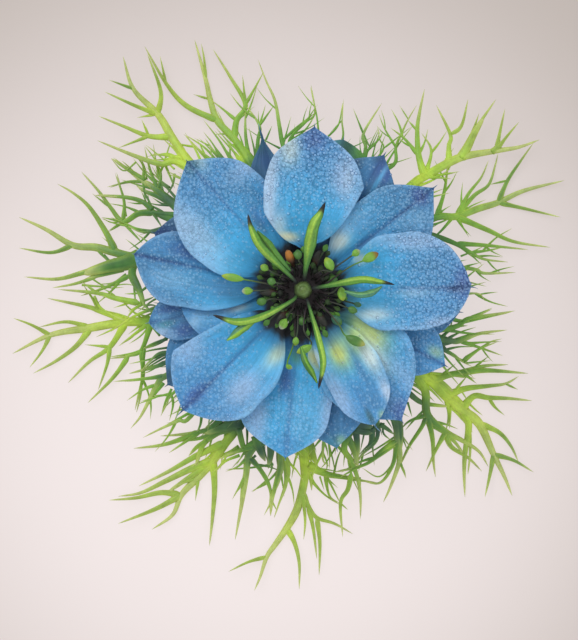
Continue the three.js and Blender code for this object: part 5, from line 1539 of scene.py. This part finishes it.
        (-24.4, 9.3, -27.4, 9.9), (-26.1, 11.2, -28.6, 13.1), (-19.6, 13.5, -20.7, 16.2, -21.5, 19.4),
        (-19.6, 13.5, -19.3, 15.9, -20.4, 18.2), (-21.7, 14.7, -21.3, 11.7),
    )),
)


# ------------------------------------------------------------------------------ the heart
@dataclass
class Stem:
    """Cut stem with its collar, and the receptacle that carries everything."""

    sides: int = 72
    top: float = 14.0
    spacing: float = 0.16
    profile: tuple[tuple[float, float], ...] = (
        (0.0, 0.0), (0.5, 0.02), (0.85, 0.0), (1.0, 0.08), (1.05, 0.35), (1.04, 3.0), (1.05, 6.2),
        (1.2, 6.8), (1.56, 7.3), (1.6, 8.2), (1.62, 9.0), (2.1, 9.45), (2.9, 9.8), (3.4, 10.3),
        (3.58, 11.2), (3.56, 12.4), (3.5, 13.3), (3.2, 13.8), (2.6, 13.97), (1.6, 13.98), (0.0, 13.9),
    )

    def skin(self) -> Skin:
        """The profile turned round the axis.

        The stalk has nine flat-topped ribs: radius * (1 + min(0.05 * cos(9 a), 0.015)).
        """
        path = spline(np.array([(0.0, r, z) for r, z in self.profile]), self.spacing)[1:-1]
        radius, height = np.maximum(path[:, 1], 0.02), np.clip(path[:, 2], 0, self.top)
        angle = ring_angles(self.sides)
        ribs = 0.05 * np.cos(9 * angle) * (smooth(height, 0.0, 0.6) * (1 - smooth(height, 8.8, 10.4)))[:, None]
        r = radius[:, None] * (1 + np.minimum(ribs, 0.015))
        high = np.broadcast_to(height[:, None], r.shape)
        tints = washed(
            Hue.FERN.rgb, (Hue.GRASS, 0.6 * (0.5 + 0.5 * np.cos(9 * angle))),
            (Hue.CELERY, 0.5 * smooth(high, 9, 11)),
            (Hue.PITH, (high < 0.05) * (r < 0.93) * (0.6 + 0.4 * bell(r, 0.4))),
            (Hue.MAROON, smooth(high, 12.9, 13.7)),
        )
        return turned(r, high, angle, tints, 2.5)


FOOT = 13.8  # height in mm at which the filaments start, inside the receptacle


class Ripeness(Enum):
    """How an anther looks: its colour and that of its end."""

    BRIGHT = (Hue.BUD, Hue.LIME)
    DIM = (Hue.BUD_DIM, Hue.FERN)
    CREAM_TIP = (Hue.BUD, Hue.IVORY)
    RIMMED = (Hue.BUD_DIM, Hue.YELLOW)
    SHY = (Hue.JADE, Hue.FERN)
    ORANGE = (Hue.BUD, Hue.RUST)


@dataclass(frozen=True)
class Stamen:
    """A dark filament that rises and bends out, and the long anther on its end.

    The filament starts at the azimuth foot, at the distance ring. The anther's middle is at
    azimuth, out and height, and half is its half-width.
    """

    foot: float
    azimuth: float
    out: float
    height: float
    length: float
    half: float
    look: Ripeness
    ring: float
    green_stalk: bool = False
    veer: float = 0.0

    SIDES = 12
    SPACING = 0.14
    FILAMENT = 0.11

    def curve(self) -> Array:
        """Places along the filament, to the far end of the anther, which veers off by an angle."""
        middle = polar(self.azimuth, self.out, self.height - 0.1)
        arm = polar(self.azimuth + self.veer, self.length / 2, -0.1)
        return np.array([
            polar(self.foot, self.ring, FOOT),
            polar(self.foot, self.ring + 0.1, mix(14.3, self.height, 0.6)),
            polar(self.azimuth, mix(self.ring, self.out, 0.55), self.height + 0.05),
            middle - arm,
            middle + arm,
        ])

    def skin(self) -> Skin:
        """Filament and anther as one tube.

        Along the anther, with s from 0 to 1, the radius is (half + 0.06) * sin(pi s)^0.62, times
        1 - 0.16 * |sin a|^8 round it, which leaves a groove above and one below.
        """
        path = spline(self.curve(), self.SPACING)
        run = lengths_along(path)
        inside = last_part(run, self.length)
        swell = (self.half + 0.06) * np.sin(np.pi * inside) ** 0.62
        radius = np.maximum(self.FILAMENT * np.clip((run[-1] - run) / 0.15, 0.3, 1), swell)
        rings, grain = ringed(path, radius, radius * mix(1.0, 0.85, inside), self.SIDES, 0.0,
                              polar(self.azimuth + 90, 1, 0))
        anther = (inside > 0.02)[:, None, None]
        angle = ring_angles(self.SIDES, 0.5)[None, :, None]
        lobes = 1 - 0.16 * np.abs(np.sin(angle)) ** 8
        rings = np.where(anther, path[:, None] + (rings - path[:, None]) * lobes, rings)
        body, end = (hue.rgb for hue in self.look.value)
        # The anther is lighter on top and darker underneath: painted light and shade.
        pod = mix(body, end, smooth(inside, 0.55, 0.95)[:, None, None]) * (0.92 + 0.16 * np.sin(angle))
        hue, share = (Hue.FERN, 0.95) if self.green_stalk else (Hue.PINE, 0.4)
        stalk = washed(Hue.MAROON.rgb, (hue, smooth(run / run[-1], 0.35, 0.8) * share))
        return closed_tube(rings, np.where(anther, pod, stalk[:, None]), grain)


STAMENS = (
    Stamen(172, 170, 9.6, 17.2, 3.1, 0.5, Ripeness.BRIGHT, 2.2, True),
    Stamen(188, 181, 7.5, 17.0, 1.5, 0.5, Ripeness.CREAM_TIP, 2.75),
    Stamen(158, 165, 4.4, 17.4, 1.2, 0.5, Ripeness.DIM, 2.2),
    Stamen(208, 196, 5.8, 16.9, 1.4, 0.5, Ripeness.DIM, 2.75),
    Stamen(242, 240, 5.3, 17.2, 1.6, 0.55, Ripeness.CREAM_TIP, 2.2),
    Stamen(267, 268, 4.2, 16.4, 1.2, 0.5, Ripeness.DIM, 2.75),
    Stamen(52, 45, 4.9, 17.9, 2.0, 0.6, Ripeness.BRIGHT, 2.2, False, 70),
    Stamen(20, 18, 4.2, 16.3, 1.4, 0.5, Ripeness.DIM, 2.75),
    Stamen(352, 354, 5.2, 17.8, 1.9, 0.55, Ripeness.BRIGHT, 2.2, False, -70),
    Stamen(334, 338, 7.2, 17.3, 1.4, 0.45, Ripeness.DIM, 2.75),
    Stamen(315, 318, 6.1, 16.2, 1.8, 0.55, Ripeness.SHY, 2.2),
    Stamen(12, 26, 10.1, 17.6, 2.4, 0.62, Ripeness.ORANGE, 2.75, True),
    Stamen(34, 35, 8.7, 17.0, 1.3, 0.45, Ripeness.CREAM_TIP, 2.2),
    Stamen(324, 316, 9.8, 17.5, 2.9, 0.62, Ripeness.RIMMED, 2.75, True, 18),
    Stamen(280, 271, 7.9, 17.6, 2.3, 0.52, Ripeness.BRIGHT, 2.2, False, -60),
    Stamen(256, 262, 7.0, 17.0, 1.2, 0.4, Ripeness.BRIGHT, 2.75),
    Stamen(140, 150, 6.0, 17.3, 1.2, 0.45, Ripeness.BRIGHT, 2.2),
    Stamen(84, 98, 4.8, 17.3, 1.4, 0.5, Ripeness.DIM, 2.75),
)

# Small ones that come up through the inner crowd.
STRAGGLERS = (
    Stamen(252, 260, 10.4, 16.9, 1.0, 0.3, Ripeness.CREAM_TIP, 3.2, True, 50),
    Stamen(300, 297, 6.6, 16.6, 1.2, 0.34, Ripeness.DIM, 3.2),
    Stamen(60, 62, 6.4, 16.9, 1.1, 0.32, Ripeness.DIM, 3.2),
    Stamen(340, 345, 7.6, 16.5, 1.1, 0.32, Ripeness.SHY, 3.2),
    Stamen(225, 222, 6.6, 16.8, 1.1, 0.34, Ripeness.DIM, 3.2),
)


@dataclass
class InnerStamens:
    """The crowd of short dark stamens between the ovary and the outer ones."""

    count: int = 64
    seed: int = 11
    nearest: float = 1.7
    furthest: float = 3.2
    widest: float = 6.6
    height: float = 16.6
    filament: float = 0.095
    anther: float = 0.9
    sides: int = 7
    spacing: float = 0.28

    def skin(self) -> Skin:
        """Each stamen a thin tube that leans out, and its anther size * sin(pi s)^0.7 in radius."""
        draw = np.random.default_rng(self.seed)
        skins = []
        for i in range(self.count):
            azimuth = 360 * (i + 0.7 * draw.uniform()) / self.count
            foot = draw.uniform(self.nearest, self.furthest)
            out = draw.uniform(self.furthest, self.widest)
            height = self.height - 0.25 * (out - self.furthest) + draw.uniform(-0.4, 0.4)
            turn = azimuth + draw.uniform(-12, 12)
            places = np.array([
                polar(azimuth, foot, FOOT), polar(azimuth, foot + 0.1, 15.2),
                polar(turn, mix(foot, out, 0.6), height), polar(turn, out, height - 0.1),
            ])
            path = spline(places, self.spacing)
            run = lengths_along(path)
            inside = last_part(run, self.anther)
            size = draw.uniform(0.28, 0.5)
            radius = np.maximum(self.filament * np.clip((run[-1] - run) / 0.15, 0.3, 1),
                                size * np.sin(np.pi * inside) ** 0.7)
            rings, grain = ringed(path, radius, radius, self.sides, 0.0, polar(turn + 90, 1, 0))
            tints = washed(
                Hue.SOOT.rgb, (Hue.PINE, 0.3 * draw.uniform()),
                (Hue.FERN, draw.uniform(0.25, 1.0) * (inside > 0.02) * smooth(out, 3.4, 4.8)),
            )
            skins.append(closed_tube(rings, tints[:, None], grain))
        return Skin.joined([*skins, *(stamen.skin() for stamen in STRAGGLERS)])


@dataclass(frozen=True)
class Nectary:
    """A small true petal: a claw and a swollen head with a lip."""

    azimuth: float
    hue: Hue

    SIDES = 12
    SPACING = 0.1
    HEAD = 2.2

    def skin(self) -> Skin:
        """The head's half-width is 0.18 + 0.3 * sin(pi s)^0.8 along its length."""
        places = np.array([polar(self.azimuth, 3.1, 13.9), polar(self.azimuth, 3.35, 15.4),
                           polar(self.azimuth, 4.1, 16.4), polar(self.azimuth, 5.8, 16.7)])
        path = spline(places, self.SPACING)
        run = lengths_along(path)
        inside = last_part(run, self.HEAD)
        half = 0.18 + 0.3 * np.sin(np.pi * inside) ** 0.8
        half *= np.clip((run[-1] - run) / 0.2, 0.2, 1) ** 0.5
        rings, grain = ringed(path, half * 1.2, half * 0.8, self.SIDES, 0.25, polar(self.azimuth + 90, 1, 0))
        tints = washed(Hue.UMBER.rgb, (self.hue, smooth(inside, 0.15, 0.6)),
                       (Hue.UMBER, smooth(inside, 0.9, 1.0) * 0.6))
        return closed_tube(rings, tints[:, None], grain)


NECTARIES = (Nectary(112, Hue.RUST), Nectary(66, Hue.PEAT), Nectary(302, Hue.PEAT),
             Nectary(232, Hue.PEAT), Nectary(184, Hue.PEAT))


@dataclass(frozen=True)
class Style:
    """One folded, twisted blade of the pistil, as x, y, z places from the ovary to the tip."""

    places: tuple[tuple[float, float, float], ...]
    widths: tuple[float, ...] = (0.35, 0.6, 1.25, 1.1, 0.22)
    twist: float = 25.0
    bright: Hue = Hue.LEAF
    dull: Hue = Hue.FERN
    black_tip: bool = True
    dark_to: float = 3.4

    SPACING = 0.16

    def skin(self) -> Skin:
        """A strip folded along its middle and turned by the twist along its length.

        Across it q runs from -1 to 1. With w its half-width, it lies w * q to the side and
        w * (0.28 - 0.6 * |q|) up, and is 0.11 * w * (1.15 - |q|) thick on either side of that.
        """
        path = spline(np.array(self.places), self.SPACING)
        share = lengths_along(path) / lengths_along(path)[-1]
        half = np.interp(share, np.linspace(0, 1, len(self.widths)), self.widths) / 2
        half *= np.clip((1 - share) / 0.03, 0.15, 1) ** 0.6
        q = np.linspace(-1, 1, 9)
        along = unit(np.gradient(path, axis=0))
        side = unit(np.cross(along, [0.0, 0.0, 1.0]))
        up = np.cross(side, along)
        turn = np.radians(self.twist * np.sin(np.pi * share * 1.3))[:, None]
        a = half[:, None] * q
        b = half[:, None] * (0.28 - 0.6 * np.abs(q))
        wide, high = a * np.cos(turn) - b * np.sin(turn), a * np.sin(turn) + b * np.cos(turn)
        middle = path[:, None] + wide[..., None] * side[:, None] + high[..., None] * up[:, None]
        thick = (0.11 * half[:, None] * (1.15 - np.abs(q)))[..., None] * up[:, None]
        distance = from_axis(path)[:, None]
        tints = washed(
            self.bright.rgb, (self.dull, smooth(q, 0.05, 0.35) * 0.9),
            (Hue.GRASS, smooth(-q, 0.45, 1) * 0.8), (Hue.LIME, 0.55 * bell(q + 0.12, 0.16)),
            (Hue.PINE, 0.9 * smooth(np.abs(q), 0.7, 1.0)),
            # Darker toward the ovary and near black in the middle: painted shade in the heart of the flower.
            (Hue.PINE, 0.75 * (1 - smooth(distance, self.dark_to - 1, self.dark_to + 3))),
            (Hue.SHADE, 1 - smooth(distance, self.dark_to - 2.2, self.dark_to - 0.2)),
            (Hue.SOOT, self.black_tip * smooth(share, 0.84, 0.93)[:, None]),
        )
        turns = np.stack([np.broadcast_to(q * 1.2, a.shape), np.full(a.shape, 0.5),
                          np.broadcast_to(lengths_along(path)[:, None], a.shape)], -1)
        return shell(middle + thick, middle - thick, with_dew(tints), with_dew(tints * 0.85), turns)


@dataclass
class Pistil:
    """The ovary's ribbed dome and the blades that spread from it."""

    sides: int = 60
    spacing: float = 0.09
    blades: tuple[Style, ...] = (
        Style(((-0.5, 0.5, 17.2), (-1.8, 1.9, 18.6), (-5.5, 5.5, 20.4), (-6.9, 8.2, 20.5), (-7.4, 10.2, 20.0))),
        Style(((0.1, 0.7, 17.2), (0.4, 3.2, 18.9), (1.3, 8.2, 20.4), (2.3, 10.2, 20.4), (3, 11.8, 19.8)),
              (0.35, 0.7, 1.75, 1.5, 0.2), twist=12.0),
        Style(((0.7, 0.1, 17.2), (3.3, 0.6, 18.9), (7.6, 1.4, 20.3), (10.2, 1.1, 20.2), (12.3, 0.7, 19.6)),
              (0.35, 0.6, 1.15, 0.95, 0.2)),
        Style(((0.3, -0.6, 17.2), (1, -2.9, 18.9), (2.1, -6.8, 20.2), (2.7, -9.9, 20.2), (2.1, -13.3, 19.4)),
              (0.3, 0.5, 0.95, 0.9, 0.25), twist=-20.0),
        Style(((-0.6, -0.4, 17.2), (-1.6, -1.5, 18.6), (-5.6, -3.6, 20.2), (-8.9, -4.3, 20.3), (-12.1, -3.4, 19.7)),
              (0.35, 0.6, 1.05, 1.05, 0.25), twist=-15.0, dark_to=2.4),
        Style(((5.6, -0.2, 19.2), (7.6, -0.6, 19.5), (9.4, -0.3, 19.5), (10.7, 0.5, 19.4)),
              (0.3, 0.9, 1.0, 0.2), bright=Hue.JADE, dull=Hue.JADE, black_tip=False),
        Style(((-0.3, -7.6, 19.2), (0.4, -9.7, 19.6), (1.2, -11.1, 19.5), (1.9, -12.6, 19.3)),
              (0.3, 1.0, 0.9, 0.2), bright=Hue.FERN, dull=Hue.PINE, black_tip=False),
        Style(((-6.5, -4.1, 19.6), (-7.8, -5.0, 19.6), (-9.0, -5.9, 19.5), (-10.3, -6.8, 19.3)),
              (0.5, 1.45, 1.15, 0.2), bright=Hue.GRASS, dull=Hue.JADE, black_tip=False),
        Style(((-1.7, 2.5, 18.4), (-3.5, 4.4, 19.3), (-4.9, 6.4, 19.6), (-6.2, 8.0, 19.8)),
              (0.4, 1.1, 1.2, 0.3), bright=Hue.PINE, dull=Hue.FERN, black_tip=False),
    )

    def ovary(self) -> Skin:
        """A dome of five carpels: radius * (1 + 0.035 * cos(5 a)), with a dimpled ring on top."""
        shape = np.array([(0.95, 13.9), (1.2, 14.8), (1.3, 15.8), (1.26, 16.8), (1.12, 17.6), (0.9, 18.1),
                          (0.62, 18.3), (0.46, 18.16), (0.3, 18.2), (0.05, 18.28)])
        path = spline(np.column_stack([np.zeros(len(shape)), shape]), self.spacing)
        radius, height = np.maximum(path[:, 1], 0.02), path[:, 2]
        angle = ring_angles(self.sides)
        r = radius[:, None] * (1 + 0.035 * np.cos(5 * angle) * smooth(radius, 0.5, 1.1)[:, None])
        high = np.broadcast_to(height[:, None], r.shape)
        tints = washed(Hue.DRAB.rgb, (Hue.FERN, bell(r - 0.66, 0.2) * 0.25), (Hue.LEAF, bell(r, 0.5) * 0.3),
                       (Hue.SHADE, 1 - smooth(high, 16.4, 18.0)))
        return turned(r, high, angle, tints, 1.0)

    def skin(self) -> Skin:
        """Ovary and blades together."""
        return Skin.joined([self.ovary(), *(blade.skin() for blade in self.blades)])


# ------------------------------------------------------------------------------ the studio
@dataclass
class Studio:
    """Pale ground, soft lights and a camera that looks straight down on the flower."""

    bed: Bed
    view_height: float = 86.4
    distance: float = 2000.0
    aim_height: float = 12.0
    ground_half: float = 1.5
    ground_drop: float = 0.0001
    off_axis: tuple[float, float] = (-1.89, -4.05)
    key: float = 3.9
    fill: float = 1.4
    sky: float = 0.62

    def ground(self) -> None:
        """A wide plane just under the flower."""
        signs = np.array([(-1, -1, 0), (1, -1, 0), (1, 1, 0), (-1, 1, 0)])
        corners = self.bed.origin - [0, 0, self.ground_drop] + signs * self.ground_half
        mesh = bpy.data.meshes.new("ground")
        mesh.from_pydata(corners.tolist(), [], [(0, 1, 2, 3)])
        mesh.materials.append(Ground().material())
        ground = bpy.data.objects.new("ground", mesh)
        bpy.context.scene.collection.objects.link(ground)

    def lamp(self, name: str, place: Sequence[float], size: float, power: float) -> None:
        """A soft square lamp that faces the flower.

        Args:
            name: The lamp's name.
            place: Where it hangs from the flower, in metres.
            size: Its side, in metres.
            power: Its power, in watts.
        """
        light = bpy.data.lights.new(name, "AREA")
        light.shape, light.size, light.energy = "SQUARE", size, power
        lamp = bpy.data.objects.new(name, light)
        lamp.location = self.bed.origin + np.array(place)
        lamp.visible_camera = False
        lamp.rotation_mode = "QUATERNION"
        lamp.rotation_quaternion = (-Vector(place)).to_track_quat("-Z", "Y")
        bpy.context.scene.collection.objects.link(lamp)

    def camera(self) -> None:
        """A long lens over the flower, whose frame is `view_height` mm high at the blades."""
        data = bpy.data.cameras.new("camera")
        data.sensor_width = 36.0
        data.lens = data.sensor_width * self.distance / self.view_height
        data.clip_start, data.clip_end = 0.05, 10.0
        camera = bpy.data.objects.new("camera", data)
        camera.location = self.bed.origin + np.array([*self.off_axis, self.distance + self.aim_height]) * MM
        bpy.context.scene.collection.objects.link(camera)
        bpy.context.scene.camera = camera

    def build(self) -> None:
        """Sets up the whole studio."""
        self.ground()
        self.lamp("key", (-0.35, 0.45, 0.75), 0.7, self.key)
        self.lamp("fill", (0.6, -0.2, 0.6), 0.9, self.fill)
        world = bpy.data.worlds.new("soft_sky")
        world.use_nodes = True
        background = world.node_tree.nodes["Background"]
        background.inputs["Color"].default_value = (1.0, 0.985, 0.975, 1.0)
        background.inputs["Strength"].default_value = self.sky
        bpy.context.scene.world = world
        bpy.context.scene.view_settings.view_transform = "Standard"
        self.camera()


# ------------------------------------------------------------------------------ the flower
@dataclass
class Flower:
    """All the pieces, in the order in which they are laid on the bed."""

    bed: Bed
    dew: Dew = Dew()

    def lay_sepals(self) -> None:
        """The blades and the dew on them."""
        silk, bead = PetalSilk().material(), DewBead().material()
        for sepal in SEPALS:
            node = f"sepal_{sepal.name}"
            self.bed.piece(f"{node}_blade", sepal.skin(), silk, "sepal", [node])
            beads = self.dew.beads(sepal, SEPALS)
            if len(beads.points):
                self.bed.piece(f"{node}_dew", beads, bead, "sepal")

    def lay_bracts(self) -> None:
        """The feathery leaves."""
        leaf = GreenSkin("bract_leaf", streaks=0.45, clouds=0.75, coat=0.08).material()
        for bract in BRACTS:
            node = f"bract_{bract.name}"
            self.bed.piece(f"{node}_leaf", bract.skin(), leaf, "bract", [node])

    def lay_heart(self) -> None:
        """Stem, nectaries, stamens and pistil."""
        stalk = GreenSkin("stem_skin", streaks=0.25, relief=0.05).material()
        anther = GreenSkin("anther_skin", streaks=0.5, clouds=0.45, roughness=0.45, flecks=0.5).material()
        dark = GreenSkin("inner_skin", streaks=0.5, clouds=0.5, roughness=0.75, coat=0.0).material()
        horn = GreenSkin("nectary_skin", streaks=0.4, clouds=0.3, roughness=0.55).material()
        blade = GreenSkin("style_skin", streaks=0.95, clouds=0.6, roughness=0.42, flecks=0.8).material()
        self.bed.piece("stem_stub", Stem().skin(), stalk, "stem", ["stem"])
        for i, nectary in enumerate(NECTARIES, 1):
            self.bed.piece(f"nectary_{i}_cup", nectary.skin(), horn, "nectary", [f"nectary_{i}"])
        for i, stamen in enumerate(STAMENS, 1):
            self.bed.piece(f"stamen_{i}_anther", stamen.skin(), anther, "stamen", [f"stamen_{i}"])
        self.bed.piece("inner_stamens", InnerStamens().skin(), dark, "stamen")
        self.bed.piece("pistil_blades", Pistil().skin(), blade, "pistil", ["pistil"])

    def build(self) -> None:
        """Lays every piece."""
        self.lay_sepals()
        self.lay_bracts()
        self.lay_heart()
        LOG.info("%d pieces", self.bed.pieces)


def main() -> None:
    """Builds the studio and the flower."""
    logging.basicConfig(level=logging.INFO, format="%(name)s: %(message)s")
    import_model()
    bed = Bed.from_stem()
    Studio(bed).build()
    Flower(bed).build()
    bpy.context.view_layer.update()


if __name__ == "__main__":
    main()
